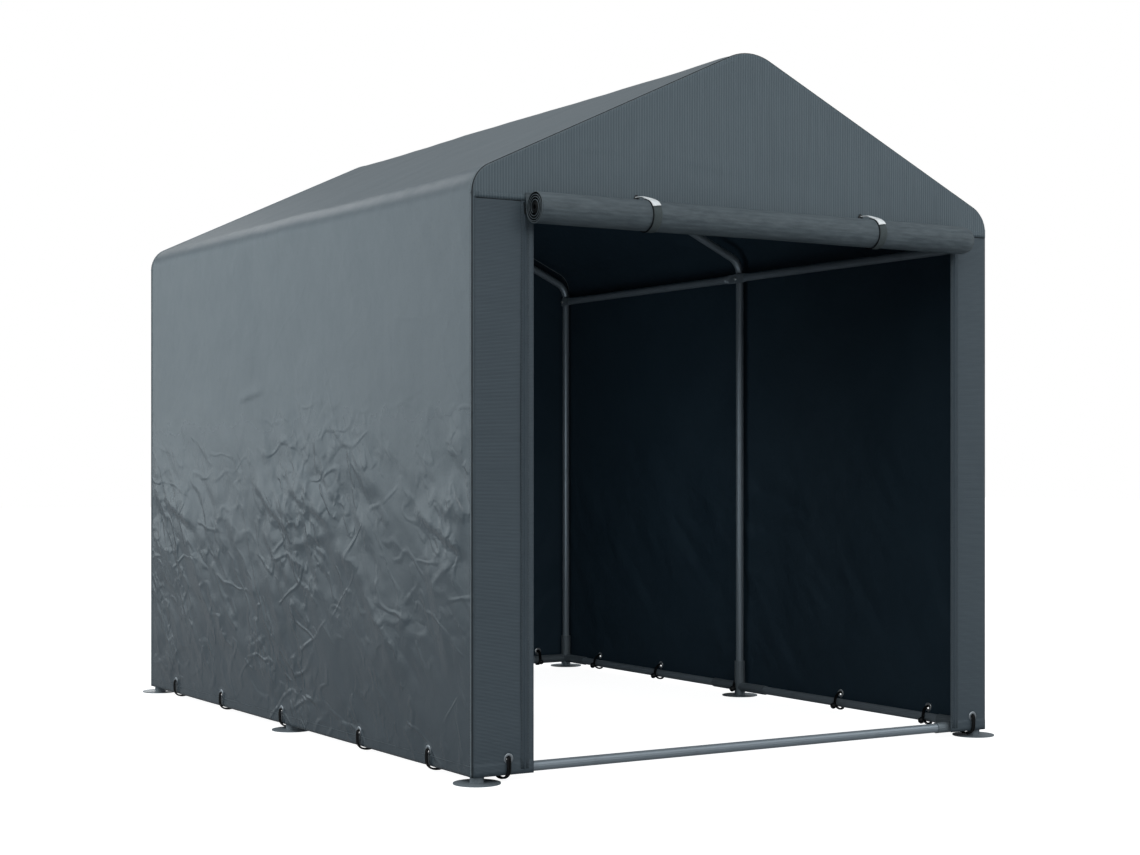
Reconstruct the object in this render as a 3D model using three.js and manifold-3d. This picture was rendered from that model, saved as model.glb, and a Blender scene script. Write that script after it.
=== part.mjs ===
// A gable-roofed storage tent on a tube frame: six legs on round foot plates,
// three roof frames, purlins, bottom rails, a sheet cover and a roll-up door.
// Millimetres. +Z is up, the door faces -Y, and the origin is on the ground,
// under the middle of the whole tent.

import * as THREE from 'three';
import { mergeVertices } from 'three/addons/utils/BufferGeometryUtils.js';
import Module from 'manifold-3d';

const wasm = await Module();
wasm.setup();

// ---- driving dimensions ---------------------------------------------------

// frame tubes
const TUBE_D = 28;
const TUBE_WALL = 1.2;
const TUBE_SIDES = 16;
const FIT = 0.3;            // gap between pieces that touch or slide into each other
const SPIGOT = 45;          // length of a swaged end inside the next tube

// frame layout
const SPAN = 1765;          // between the axes of the left and right legs
const BAY = 1222;           // between neighbouring frames
const PITCH = THREE.MathUtils.degToRad(25);
const EAVE_Z = 1580;        // where the axes of a leg and a rafter would meet

// eave elbows and ridge connectors
const ELBOW_R = 70;
const ELBOW_DROP = 30;      // straight length under the bend
const ELBOW_ARM = 62;       // straight length up the slope
const ELBOW_STEPS = 6;
const RIDGE_R = 110;
const RIDGE_ARM = 110;
const RIDGE_STEPS = 6;

// feet
const FOOT_D = 128;
const FOOT_T = 3;
const FOOT_SIDES = 40;
const SLEEVE_WALL = 5;
const SLEEVE_TOP = 126;
const STUB_WALL = 2.2;
const STUB_REACH = 155;     // from the leg's axis to the open end of a rail socket
const RAIL_Z = 33;

// eave purlins, with their ends pressed flat and bolted to the legs
const TAB_T = 3;
const TAB_TRIM = 1;         // how much narrower a tab is than the tube
const TAB_LENGTH = 58;
const TAB_OVERLAP = 14;     // how far the flat part reaches into the round tube

// cover
const SHEET_T = 2;
const WALL_GAP = 12.5;      // from the outside of a leg to the outside of the side wall
const END_GAP = 26;         // from the axis of an end frame to the outside of the end panels
const RIDGE_SEAT = 1.5;     // slack between the ridge purlin and the cover
const COVER_EAVE_R = 84;
const COVER_RIDGE_R = 165;
const HEM_Z = 20;
const ARC_STEPS = 8;

// front of the cover
const SEAM_Z = 1555;        // where the gable ends and the jambs begin
const DOORWAY_LEFT = 724;   // from the middle of the tent to the left jamb's inner edge
const DOORWAY_RIGHT = 764;

// rolled-up door
const ROLL_D = 84;
const ROLL_SIDES = 32;
const ROLL_Z = 1527;
const ROLL_GAP = 10;        // from the front panels to the back of the roll
const DOOR_LEFT = 752;
const DOOR_RIGHT = 780;
const CURTAIN_T = 1.2;

// straps that hold the roll
const STRAP_X = [-385, 415];
const STRAP_W = 28;
const STRAP_T = 1.2;
const STRAP_SLACK = 3;      // from the roll to the inside of the strap
const STRAP_END = THREE.MathUtils.degToRad(100);
const STRAP_STEPS = 24;
const TOGGLE_T = 2.4;
const TOGGLE_STEM_W = 10;
const TOGGLE_FRONT = THREE.MathUtils.degToRad(38);
const TOGGLE_WAIST = THREE.MathUtils.degToRad(88);
const TOGGLE_BACK = THREE.MathUtils.degToRad(138);
const LOOP_W = 24;
const LOOP_H = 15;
const LOOP_T = 2.5;
const LOOP_BAR = 3.5;
const LOOP_SHIFT = 14;      // the loop sits beside the toggle's stem

// zip sliders, parked at the top of the jambs
const SLIDER_W = 11;
const SLIDER_H = 17;
const SLIDER_T = 4.2;
const PULL_W = 7;
const PULL_H = 26;
const PULL_T = 1.4;
const SLIDER_TOP_GAP = 7;   // from the gable seam down to the slider

// ---- worked out from them -------------------------------------------------

const TUBE_R = TUBE_D / 2;
const BORE_R = TUBE_R - TUBE_WALL;
const SPIGOT_R = BORE_R - FIT;
const SOCKET_R = TUBE_R + FIT;
const LEG_X = SPAN / 2;
const UP = new THREE.Vector3(0, 0, 1);
const UPHILL = new THREE.Vector3(-Math.cos(PITCH), 0, Math.sin(PITCH));    // on the right-hand slope
const DOWNHILL = new THREE.Vector3(-Math.cos(PITCH), 0, -Math.sin(PITCH)); // over the ridge, to the left
const APEX_Z = EAVE_Z + LEG_X * Math.tan(PITCH);
const ELBOW_TANGENT = ELBOW_R * Math.tan((Math.PI / 2 - PITCH) / 2);
const RIDGE_TANGENT = RIDGE_R * Math.tan(PITCH);
const LEG_TOP = EAVE_Z - ELBOW_TANGENT - ELBOW_DROP - FIT;
const TAB_H = TUBE_D - TAB_TRIM;
const PURLIN_Z = EAVE_Z - ELBOW_TANGENT - TAB_H / 2 - FIT;  // the tabs cross just under the bends
const RAFTER_FOOT = ELBOW_TANGENT + ELBOW_ARM + FIT;
const RAFTER_HEAD = LEG_X / Math.cos(PITCH) - RIDGE_TANGENT - RIDGE_ARM - FIT;
const ROUNDING = 1 / Math.cos(PITCH) - 1;  // how far a ridge drops per unit of its bend radius
const CROWN_Z = APEX_Z - RIDGE_R * ROUNDING + TUBE_R;
const RIDGE_PURLIN_Z = CROWN_Z + FIT + TUBE_R;
const COVER_X = LEG_X + TUBE_R + WALL_GAP;
const COVER_Y = BAY + END_GAP;
const COVER_APEX_Z = RIDGE_PURLIN_Z + TUBE_R + RIDGE_SEAT
  + (COVER_RIDGE_R - SHEET_T) * ROUNDING + SHEET_T / Math.cos(PITCH);
const SLEEVE_R = SOCKET_R + SLEEVE_WALL;
const STUB_R = SOCKET_R + STUB_WALL;
const ROLL_R = ROLL_D / 2;
const ROLL_Y = -(COVER_Y + ROLL_GAP + ROLL_R);
const STRAP_R = ROLL_R + STRAP_SLACK;
const FRONT_Y = ROLL_Y - STRAP_R - STRAP_T;
const REAR_Y = BAY + FOOT_D / 2;

// ---- solids ---------------------------------------------------------------

function toSolid(geometry) {
  const plain = geometry.clone();
  plain.deleteAttribute('normal');
  plain.deleteAttribute('uv');
  const merged = mergeVertices(plain, 1e-4);
  const mesh = new wasm.Mesh({
    numProp: 3,
    vertProperties: new Float32Array(merged.attributes.position.array),
    triVerts: new Uint32Array(merged.index.array),
  });
  return new wasm.Manifold(mesh);
}

function toGeometry(solid) {
  const mesh = solid.getMesh();
  const geometry = new THREE.BufferGeometry();
  geometry.setAttribute('position', new THREE.BufferAttribute(mesh.vertProperties, 3));
  geometry.setIndex(new THREE.BufferAttribute(mesh.triVerts, 1));
  geometry.computeVertexNormals();
  return geometry;
}

function join(geometries) {
  return geometries.map(toSolid).reduce((all, one) => all.add(one));
}

// ---- tubes and bends ------------------------------------------------------

// A round tube along +Y from 0 to length, with an optional swaged end beyond it.
function tubeAlongY(length, outerR, innerR, spigot = 0) {
  const profile = [[innerR, 0], [outerR, 0], [outerR, length]];
  if (spigot > 0) {
    profile.push([SPIGOT_R, length], [SPIGOT_R, length + spigot], [innerR, length + spigot]);
  } else {
    profile.push([innerR, length]);
  }
  profile.push([innerR, 0]);
  const points = profile.map(([r, y]) => new THREE.Vector2(r, y));
  return new THREE.LatheGeometry(points, TUBE_SIDES);
}

function rodAlongY(length, radius) {
  return new THREE.LatheGeometry([
    new THREE.Vector2(0, 0),
    new THREE.Vector2(radius, 0),
    new THREE.Vector2(radius, length),
    new THREE.Vector2(0, length),
  ], TUBE_SIDES);
}

function alongZ(geometry) {
  return geometry.rotateX(Math.PI / 2);
}

function alongX(geometry) {
  return geometry.rotateZ(-Math.PI / 2);
}

// A straight run, an arc and a second straight run, in the XZ plane. The arc
// rounds the corner between the two directions. One station per bend step.
class BentPath extends THREE.Curve {
  constructor(corner, into, out, radius, runIn, runOut, steps) {
    super();
    const turn = into.angleTo(out);
    const tangent = radius * Math.tan(turn / 2);
    const axis = new THREE.Vector3().crossVectors(into, out).normalize();
    const start = corner.clone().addScaledVector(into, -tangent);
    const centre = start.clone().addScaledVector(new THREE.Vector3().crossVectors(axis, into), radius);
    this.stops = [start.clone().addScaledVector(into, -runIn)];
    this.headings = [into.clone()];
    for (let i = 0; i <= steps; i++) {
      const angle = turn * i / steps;
      this.stops.push(start.clone().sub(centre).applyAxisAngle(axis, angle).add(centre));
      this.headings.push(into.clone().applyAxisAngle(axis, angle));
    }
    const end = corner.clone().addScaledVector(out, tangent);
    this.stops.push(end.addScaledVector(out, runOut));
    this.headings.push(out.clone());
  }

  get spans() {
    return this.stops.length - 1;
  }

  getUtoTmapping(u) {
    return u;
  }

  between(list, t) {
    const place = Math.min(t, 1) * this.spans;
    const index = Math.min(Math.floor(place + 1e-9), this.spans - 1);
    return list[index].clone().lerp(list[index + 1], Math.max(place - index, 0));
  }

  getPoint(t) {
    return this.between(this.stops, t);
  }

  getTangent(t) {
    return this.between(this.headings, t).normalize();
  }
}

function sweep(path, radius) {
  const corners = [];
  for (let i = 0; i < TUBE_SIDES; i++) {
    const angle = 2 * Math.PI * i / TUBE_SIDES;
    corners.push(new THREE.Vector2(radius * Math.cos(angle), radius * Math.sin(angle)));
  }
  return new THREE.ExtrudeGeometry(new THREE.Shape(corners), {
    steps: path.spans,
    bevelEnabled: false,
    extrudePath: path,
  });
}

// A bent hollow fitting with a swaged spigot at each end.
function bentFitting(corner, into, out, radius, runIn, runOut, steps) {
  const run = (more) => new BentPath(corner, into, out, radius, runIn + more, runOut + more, steps);
  const body = toSolid(sweep(run(0), TUBE_R)).add(toSolid(sweep(run(SPIGOT), SPIGOT_R)));
  return toGeometry(body.subtract(toSolid(sweep(run(SPIGOT + 5), SPIGOT_R - TUBE_WALL))));
}

// ---- feet -----------------------------------------------------------------

// A round plate with an upright sleeve for the leg, and rail sockets that
// reach out along the given directions.
function footGeometry(directions) {
  const plate = new THREE.CylinderGeometry(FOOT_D / 2, FOOT_D / 2, FOOT_T, FOOT_SIDES);
  alongZ(plate).translate(0, 0, FOOT_T / 2);
  const solids = [plate, alongZ(rodAlongY(SLEEVE_TOP, SLEEVE_R))];
  const bores = [alongZ(rodAlongY(SLEEVE_TOP, SOCKET_R)).translate(0, 0, FOOT_T)];
  const depth = STUB_REACH - SLEEVE_R;
  for (const [dx, dy] of directions) {
    const heading = Math.atan2(-dx, dy);
    const lift = (geometry) => geometry.rotateZ(heading).translate(0, 0, RAIL_Z);
    solids.push(lift(rodAlongY(STUB_REACH, STUB_R)));
    bores.push(lift(rodAlongY(depth + 10, SOCKET_R).translate(0, SLEEVE_R, 0)));
  }
  return toGeometry(bores.reduce((body, bore) => body.subtract(toSolid(bore)), join(solids)));
}

// ---- purlins --------------------------------------------------------------

// A purlin from one frame to the next along +Y, starting at 0. Each end is a
// flat tab; offsets place the two tabs beside the tube's axis.
function eavePurlinGeometry(offsets) {
  const reach = TAB_LENGTH - TUBE_R;
  const tube = tubeAlongY(BAY - 2 * reach, TUBE_R, BORE_R).translate(0, reach, 0);
  const tab = (y, offset) => new THREE.BoxGeometry(TAB_T, TAB_LENGTH + TAB_OVERLAP, TAB_H)
    .translate(offset, y, 0);
  const middle = (TAB_LENGTH + TAB_OVERLAP) / 2 - TUBE_R;
  return toGeometry(join([tube, tab(middle, offsets[0]), tab(BAY - middle, offsets[1])]));
}

// ---- cover ----------------------------------------------------------------

// The cover's section, set in from its outside by a distance.
function section(inset) {
  const halfWidth = COVER_X - inset;
  const apex = COVER_APEX_Z - inset / Math.cos(PITCH);
  const eaveR = COVER_EAVE_R - inset;
  const ridgeR = COVER_RIDGE_R - inset;
  const corner = apex - halfWidth * Math.tan(PITCH);
  const wallTop = corner - eaveR * Math.tan((Math.PI / 2 - PITCH) / 2);
  return {
    halfWidth,
    wallTop,
    eave: [halfWidth - eaveR, wallTop, eaveR],
    ridge: [0, apex - ridgeR / Math.cos(PITCH), ridgeR],
  };
}

function arcPoints([cx, cz, radius], from, to, steps = ARC_STEPS) {
  const points = [];
  for (let i = 0; i <= steps; i++) {
    const angle = from + (to - from) * i / steps;
    points.push(new THREE.Vector2(cx + radius * Math.cos(angle), cz + radius * Math.sin(angle)));
  }
  return points;
}

// From the top of the right wall, over the eave, up to the ridge.
function slopeLine(inset) {
  const s = section(inset);
  const upright = Math.PI / 2 - PITCH;
  return [...arcPoints(s.eave, 0, upright), ...arcPoints(s.ridge, upright, Math.PI / 2)];
}

function mirrored(points) {
  return points.map((p) => new THREE.Vector2(-p.x, p.y)).reverse();
}

// An outline in the XZ plane, made into a plate from y to y + depth.
function plate(points, y, depth) {
  const geometry = new THREE.ExtrudeGeometry(new THREE.Shape(points), {
    depth,
    bevelEnabled: false,
  });
  return geometry.rotateX(Math.PI / 2).translate(0, y + depth, 0);
}

// Half of the roof: the right-hand slope with its eave bend, as far as the ridge.
function roofSlopeGeometry(side) {
  const outer = slopeLine(0);
  const inner = slopeLine(SHEET_T);
  const seam = FIT / 2;
  outer[outer.length - 1].x = seam;
  inner[inner.length - 1].x = seam;
  const ring = [...outer, ...inner.reverse()];
  return plate(side > 0 ? ring : mirrored(ring), -COVER_Y, 2 * COVER_Y);
}

function sideWallGeometry() {
  const height = section(0).wallTop - FIT - HEM_Z;
  return new THREE.BoxGeometry(SHEET_T, 2 * COVER_Y, height).translate(0, 0, HEM_Z + height / 2);
}

// A flat end panel that fills the section from a given height up.
function endPanelGeometry(bottom, y) {
  const inset = SHEET_T + FIT;
  const right = slopeLine(inset);
  const foot = new THREE.Vector2(section(inset).halfWidth, bottom);
  const half = [foot, ...right];
  const outline = [...half, ...mirrored(half).slice(1)];
  return plate(outline, y, SHEET_T);
}

function jambGeometry(innerEdge, side) {
  const outerEdge = COVER_X - SHEET_T - FIT;
  const height = SEAM_Z - FIT - HEM_Z;
  return new THREE.BoxGeometry(outerEdge - innerEdge, SHEET_T, height)
    .translate(side * (outerEdge + innerEdge) / 2, SHEET_T / 2 - COVER_Y, HEM_Z + height / 2);
}

// ---- door -----------------------------------------------------------------

function rollGeometry() {
  const length = DOOR_LEFT + DOOR_RIGHT;
  return alongX(new THREE.CylinderGeometry(ROLL_R, ROLL_R, length, ROLL_SIDES));
}

function curtainGeometry() {
  const drop = SEAM_Z - ROLL_Z;
  const y = ROLL_Y + ROLL_R + FIT + CURTAIN_T / 2;
  return new THREE.BoxGeometry(DOOR_LEFT + DOOR_RIGHT, CURTAIN_T, drop)
    .translate((DOOR_RIGHT - DOOR_LEFT) / 2, y, ROLL_Z + drop / 2);
}

// An outline around the roll's axis, drawn with the front at angle 0, made
// into a band of a given width along X.
function bandAroundRoll(outline, width) {
  const geometry = new THREE.ExtrudeGeometry(new THREE.Shape(outline), {
    depth: width,
    bevelEnabled: false,
  });
  return geometry.translate(0, 0, -width / 2).rotateX(Math.PI / 2).rotateZ(-Math.PI / 2);
}

// The strap hangs from the seam behind the curtain, passes under the roll and
// comes up over its front.
function strapGeometry() {
  const outer = STRAP_R + STRAP_T;
  const top = SEAM_Z - FIT - ROLL_Z;
  const outline = [
    ...arcPoints([0, 0, outer], -Math.PI, STRAP_END, STRAP_STEPS),
    ...arcPoints([0, 0, STRAP_R], STRAP_END, -Math.PI, STRAP_STEPS),
    new THREE.Vector2(-STRAP_R, top),
    new THREE.Vector2(-outer, top),
  ];
  return bandAroundRoll(outline, STRAP_W);
}

// A curved strip over the strap, between two angles above the front.
function hoopStrip(from, to, width) {
  const inner = STRAP_R + STRAP_T + FIT;
  const outline = [
    ...arcPoints([0, 0, inner + TOGGLE_T], from, to),
    ...arcPoints([0, 0, inner], to, from),
  ];
  return bandAroundRoll(outline, width);
}

function toggleGeometry() {
  const step = THREE.MathUtils.degToRad(2);
  const tongue = hoopStrip(TOGGLE_FRONT, TOGGLE_WAIST, STRAP_W);
  const stem = hoopStrip(TOGGLE_WAIST - step, TOGGLE_BACK, TOGGLE_STEM_W);
  return toGeometry(join([tongue, stem]));
}

// A flat triangular ring, point up, whose base lies on the seam.
function strapLoopGeometry() {
  const triangle = (inset) => {
    const w = LOOP_W / 2 - 1.8 * inset;
    return [
      new THREE.Vector2(-w, inset),
      new THREE.Vector2(w, inset),
      new THREE.Vector2(0, LOOP_H - 1.4 * inset),
    ];
  };
  const shape = new THREE.Shape(triangle(0));
  shape.holes.push(new THREE.Path(triangle(LOOP_BAR)));
  return new THREE.ExtrudeGeometry(shape, { depth: LOOP_T, bevelEnabled: false }).rotateX(Math.PI / 2);
}

function sliderGeometry() {
  const body = new THREE.BoxGeometry(SLIDER_W, SLIDER_T, SLIDER_H).translate(0, -SLIDER_T / 2, 0);
  const overlap = SLIDER_H / 2;
  const pull = new THREE.BoxGeometry(PULL_W, PULL_T, PULL_H)
    .translate(0, 0.2 - SLIDER_T - PULL_T / 2, overlap - PULL_H / 2 - SLIDER_H / 2);
  return toGeometry(join([body, pull]));
}

// ---- assembly -------------------------------------------------------------

const tent = new THREE.Group();
tent.name = 'tent';
tent.position.y = -(FRONT_Y + REAR_Y) / 2;

const FINISHES = {
  tube: { color: 0x626a70, roughness: 0.45, metalness: 0.55 },
  foot: { color: 0x6c7276, roughness: 0.5, metalness: 0.55 },
  cover: { color: 0x45525a, roughness: 0.42, metalness: 0.0 },
  panel: { color: 0x4a555b, roughness: 0.62, metalness: 0.0 },
  strap: { color: 0x4b5557, roughness: 0.8, metalness: 0.0 },
  toggle: { color: 0xe8ecee, roughness: 0.35, metalness: 0.0 },
  loop: { color: 0x0d1113, roughness: 0.5, metalness: 0.0 },
  zip: { color: 0x23282b, roughness: 0.4, metalness: 0.6 },
};

function put(name, geometry, finish, x = 0, y = 0, z = 0, turn = 0) {
  const mesh = new THREE.Mesh(geometry, new THREE.MeshStandardMaterial(FINISHES[finish]));
  mesh.name = name;
  mesh.position.set(x, y, z);
  mesh.rotation.z = turn;
  tent.add(mesh);
}

const SIDES = [['left', -1], ['right', 1]];
const FRAMES = [['front', -BAY], ['middle', 0], ['rear', BAY]];

for (const [place, y] of FRAMES) {
  for (const [side, s] of SIDES) {
    const turn = s > 0 ? 0 : Math.PI;
    const directions = [];
    if (y <= 0) directions.push([0, 1]);
    if (y >= 0) directions.push([0, -1]);
    if (y !== 0) directions.push([-s, 0]);
    put(`${place}_${side}_foot`, footGeometry(directions), 'foot', s * LEG_X, y);

    const leg = alongZ(tubeAlongY(LEG_TOP - FOOT_T - FIT, TUBE_R, BORE_R));
    put(`${place}_${side}_leg`, leg, 'tube', s * LEG_X, y, FOOT_T + FIT);

    const corner = new THREE.Vector3(LEG_X, 0, EAVE_Z);
    const elbow = bentFitting(corner, UP, UPHILL, ELBOW_R, ELBOW_DROP, ELBOW_ARM, ELBOW_STEPS);
    put(`${place}_${side}_elbow`, elbow, 'tube', 0, y, 0, turn);

    const rafter = alongZ(tubeAlongY(RAFTER_HEAD - RAFTER_FOOT, TUBE_R, BORE_R));
    rafter.rotateY(PITCH - Math.PI / 2);
    const start = corner.clone().addScaledVector(UPHILL, RAFTER_FOOT);
    put(`${place}_${side}_rafter`, rafter.translate(start.x, 0, start.z), 'tube', 0, y, 0, turn);
  }
  const apex = new THREE.Vector3(0, 0, APEX_Z);
  const peak = bentFitting(apex, UPHILL, DOWNHILL, RIDGE_R, RIDGE_ARM, RIDGE_ARM, RIDGE_STEPS);
  put(`${place}_ridge_connector`, peak, 'tube', 0, y);
}

// The front half of the ridge purlin ends in a spigot inside the rear half.
const ridgeHalf = BAY + TUBE_R - FIT / 2;
put('front_ridge_purlin', tubeAlongY(ridgeHalf, TUBE_R, SPIGOT_R - TUBE_WALL, SPIGOT), 'tube',
  0, -BAY - TUBE_R, RIDGE_PURLIN_Z);
put('rear_ridge_purlin', tubeAlongY(ridgeHalf, TUBE_R, BORE_R), 'tube', 0, FIT / 2, RIDGE_PURLIN_Z);

// The rear purlins' tabs touch the legs; the front purlins' rear tabs lie on them.
const tabStep = TAB_T + FIT;
const purlinX = LEG_X - TUBE_R - FIT - TAB_T / 2;
for (const [side, s] of SIDES) {
  put(`front_${side}_eave_purlin`, eavePurlinGeometry([s * tabStep, 0]), 'tube',
    s * (purlinX - tabStep), -BAY, PURLIN_Z);
  put(`rear_${side}_eave_purlin`, eavePurlinGeometry([0, 0]), 'tube', s * purlinX, 0, PURLIN_Z);

  const sideRail = () => tubeAlongY(BAY - 2 * (SLEEVE_R + FIT), TUBE_R, BORE_R);
  put(`front_${side}_bottom_rail`, sideRail(), 'tube', s * LEG_X, SLEEVE_R + FIT - BAY, RAIL_Z);
  put(`rear_${side}_bottom_rail`, sideRail(), 'tube', s * LEG_X, SLEEVE_R + FIT, RAIL_Z);
}
for (const [place, y] of FRAMES.filter(([, frameY]) => frameY !== 0)) {
  const rail = alongX(tubeAlongY(SPAN - 2 * (SLEEVE_R + FIT), TUBE_R, BORE_R));
  put(`${place}_bottom_rail`, rail, 'tube', SLEEVE_R + FIT - LEG_X, y, RAIL_Z);
}

for (const [side, s] of SIDES) {
  put(`roof_${side}_slope`, roofSlopeGeometry(s), 'cover');
  put(`${side}_side_wall`, sideWallGeometry(), 'cover', s * (COVER_X - SHEET_T / 2));
}
put('rear_panel', endPanelGeometry(HEM_Z, COVER_Y - SHEET_T), 'panel');
put('front_gable_panel', endPanelGeometry(SEAM_Z, -COVER_Y), 'panel');
put('left_jamb', jambGeometry(DOORWAY_LEFT, -1), 'panel');
put('right_jamb', jambGeometry(DOORWAY_RIGHT, 1), 'panel');

put('door_roll', rollGeometry(), 'panel', (DOOR_RIGHT - DOOR_LEFT) / 2, ROLL_Y, ROLL_Z);
put('door_curtain', curtainGeometry(), 'panel');

STRAP_X.forEach((x, i) => {
  const side = SIDES[i][0];
  put(`${side}_roll_strap`, strapGeometry(), 'strap', x, ROLL_Y, ROLL_Z);
  put(`${side}_strap_toggle`, toggleGeometry(), 'toggle', x, ROLL_Y, ROLL_Z);
  put(`${side}_strap_loop`, strapLoopGeometry(), 'loop', x - LOOP_SHIFT, -COVER_Y - FIT, SEAM_Z + FIT);
});

const sliderZ = SEAM_Z - SLIDER_TOP_GAP - SLIDER_H / 2;
put('left_zip_slider', sliderGeometry(), 'zip', -DOOR_LEFT, -COVER_Y - FIT, sliderZ);
put('right_zip_slider', sliderGeometry(), 'zip', DOOR_RIGHT, -COVER_Y - FIT, sliderZ);

export default tent;
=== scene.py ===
# %% [markdown]
# # A storage tent on a tube frame
# Six legs on round feet carry three roof frames. One coated sheet covers the roof and both sides, and flat
# sheets close the ends. The door is rolled up under the gable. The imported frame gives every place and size, so
# the sheets, seams and fastenings made here always fit the tubes.

import math

import bpy
import numpy as np
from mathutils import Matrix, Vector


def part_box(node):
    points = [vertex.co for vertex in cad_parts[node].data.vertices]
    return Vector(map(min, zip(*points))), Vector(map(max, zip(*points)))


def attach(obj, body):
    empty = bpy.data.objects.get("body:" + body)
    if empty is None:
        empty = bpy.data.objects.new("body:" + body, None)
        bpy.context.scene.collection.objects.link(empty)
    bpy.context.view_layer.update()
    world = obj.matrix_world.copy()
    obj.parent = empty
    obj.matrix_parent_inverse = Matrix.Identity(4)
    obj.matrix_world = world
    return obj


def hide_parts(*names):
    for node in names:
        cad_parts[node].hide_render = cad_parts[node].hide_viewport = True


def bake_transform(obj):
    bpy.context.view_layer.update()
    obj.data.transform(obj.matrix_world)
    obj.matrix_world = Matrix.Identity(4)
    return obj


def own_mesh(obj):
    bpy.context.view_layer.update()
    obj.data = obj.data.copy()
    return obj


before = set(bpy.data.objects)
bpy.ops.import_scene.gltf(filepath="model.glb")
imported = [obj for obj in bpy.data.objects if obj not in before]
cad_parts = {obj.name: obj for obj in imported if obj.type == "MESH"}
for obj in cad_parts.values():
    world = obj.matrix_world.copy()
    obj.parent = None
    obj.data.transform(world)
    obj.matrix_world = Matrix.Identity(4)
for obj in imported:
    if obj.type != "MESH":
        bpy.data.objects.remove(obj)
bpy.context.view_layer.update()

# %% [markdown]
# ## Camera, light and floor
# The camera is low and to one side, with a long lens. It is level and shifted up, not tilted, which keeps the posts
# upright. Coated sheet shows its creases only in a broad, soft reflection, so the sources are large. The one on the
# rear left is mirrored in the crumpled wall. Five more stand left, front, right, rear and overhead. Two weak ones
# light the roof from high at the rear, and the inside.

# %% Camera
camera_data = bpy.data.cameras.new("camera")
camera_data.sensor_width = 36
camera_data.lens = 61.66
camera_data.shift_y = 0.03065
camera = bpy.data.objects.new("camera", camera_data)
camera.location = (-3.3732, -5.7339, 0.8510)
camera.rotation_euler = (math.radians(90), 0, math.radians(-31.47))
bpy.context.scene.collection.objects.link(camera)
bpy.context.scene.camera = camera
bpy.context.scene.view_settings.view_transform = "Standard"
print("camera", tuple(round(c, 2) for c in camera.location))


# %% Lights
def soft_light(name, place, aim, size, watts, tint=(1, 1, 1)):
    data = bpy.data.lights.new(name, "AREA")
    data.shape = "RECTANGLE"
    data.size, data.size_y = size
    data.energy = watts
    data.color = tint
    light = bpy.data.objects.new(name, data)
    light.location = place
    direction = Vector(aim) - Vector(place)
    light.rotation_euler = direction.to_track_quat("-Z", "Y").to_euler()
    light.visible_camera = False
    bpy.context.scene.collection.objects.link(light)
    print(name, "at", place, watts, "W")


soft_light("left_light", (-3.4, 0.3, 3.2), (-0.9, 0.1, 1.6), (1.4, 3.4), 43)
soft_light("rear_left_light", (-5.2, 6.6, 2.2), (-0.9, 0.0, 1.0), (7.0, 3.6), 67, (0.88, 1.0, 1.05))
soft_light("front_light", (0.5, -6.3, 3.2), (0, -1, 1.1), (3.5, 2.0), 70, (0.95, 0.99, 1.0))
soft_light("high_rear_light", (-0.8, 7.0, 5.0), (-0.8, 0.0, 1.6), (3.0, 1.3), 15)
soft_light("right_light", (4.6, -3.0, 2.4), (0.8, -0.2, 0.9), (3.6, 2.4), 32, (0.95, 0.99, 1.0))
soft_light("rear_light", (0.8, 6.3, 1.2), (0, 1.3, 0.9), (3.0, 1.6), 34)
soft_light("inside_light", (-0.30, 0.1, 0.8), (0.6, 1.3, 0.8), (0.9, 0.8), 2.4, (0.9, 1.0, 1.06))
sun_data = bpy.data.lights.new("overhead_light", "SUN")
sun_data.energy = 1.7
sun_data.color = (0.93, 0.98, 1.0)
sun_data.angle = math.radians(120)
sun = bpy.data.objects.new("overhead_light", sun_data)
sun.rotation_euler = (math.radians(8), math.radians(-22), 0)
bpy.context.scene.collection.objects.link(sun)

# %% World and floor
world = bpy.data.worlds.new("studio")
bpy.context.scene.world = world
world.use_nodes = True
sky = world.node_tree
seen = sky.nodes["Background"]
seen.inputs["Color"].default_value = (1, 1, 1, 1)
seen.inputs["Strength"].default_value = 1.0
fill = sky.nodes.new("ShaderNodeBackground")
fill.inputs["Color"].default_value = (0.94, 0.97, 1, 1)
fill.inputs["Strength"].default_value = 0.26
rays = sky.nodes.new("ShaderNodeLightPath")
either = sky.nodes.new("ShaderNodeMixShader")
sky.links.new(rays.outputs["Is Camera Ray"], either.inputs[0])
sky.links.new(fill.outputs[0], either.inputs[1])
sky.links.new(seen.outputs[0], either.inputs[2])
sky.links.new(either.outputs[0], sky.nodes["World Output"].inputs["Surface"])

# %% [markdown]
# ## Arithmetic for surfaces
# A surface pattern is a sum: this much weave, that much dust. Wiring such sums by hand hides them in a web of
# nodes. Here a small class stands for one number on the surface, and plain Python arithmetic on it adds the Math
# nodes. Every other node comes from one method, so a finish reads like a recipe.


# %% The value class and the finish class
def forward(operation):
    return lambda a, b: a.finish.node("ShaderNodeMath", {"operation": operation}, {0: a, 1: b})


def reflected(operation):
    return lambda a, b: a.finish.node("ShaderNodeMath", {"operation": operation}, {0: b, 1: a})


class Value:
    """Something that changes over a surface: a socket that takes part in arithmetic."""

    def __init__(self, finish, socket):
        self.finish = finish
        self.socket = socket

    __add__, __radd__ = forward("ADD"), reflected("ADD")
    __sub__, __rsub__ = forward("SUBTRACT"), reflected("SUBTRACT")
    __mul__, __rmul__ = forward("MULTIPLY"), reflected("MULTIPLY")

    def sine(self):
        return self.finish.node("ShaderNodeMath", {"operation": "SINE"}, {0: self})

    def size(self):
        return self.finish.node("ShaderNodeMath", {"operation": "ABSOLUTE"}, {0: self})

    def ramp(self, low, high):
        """0 below low, 1 above high, and smooth in between."""
        settings = {"interpolation_type": "SMOOTHSTEP"}
        inputs = {"Value": self, "From Min": low, "From Max": high}
        return self.finish.node("ShaderNodeMapRange", settings, inputs)


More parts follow.
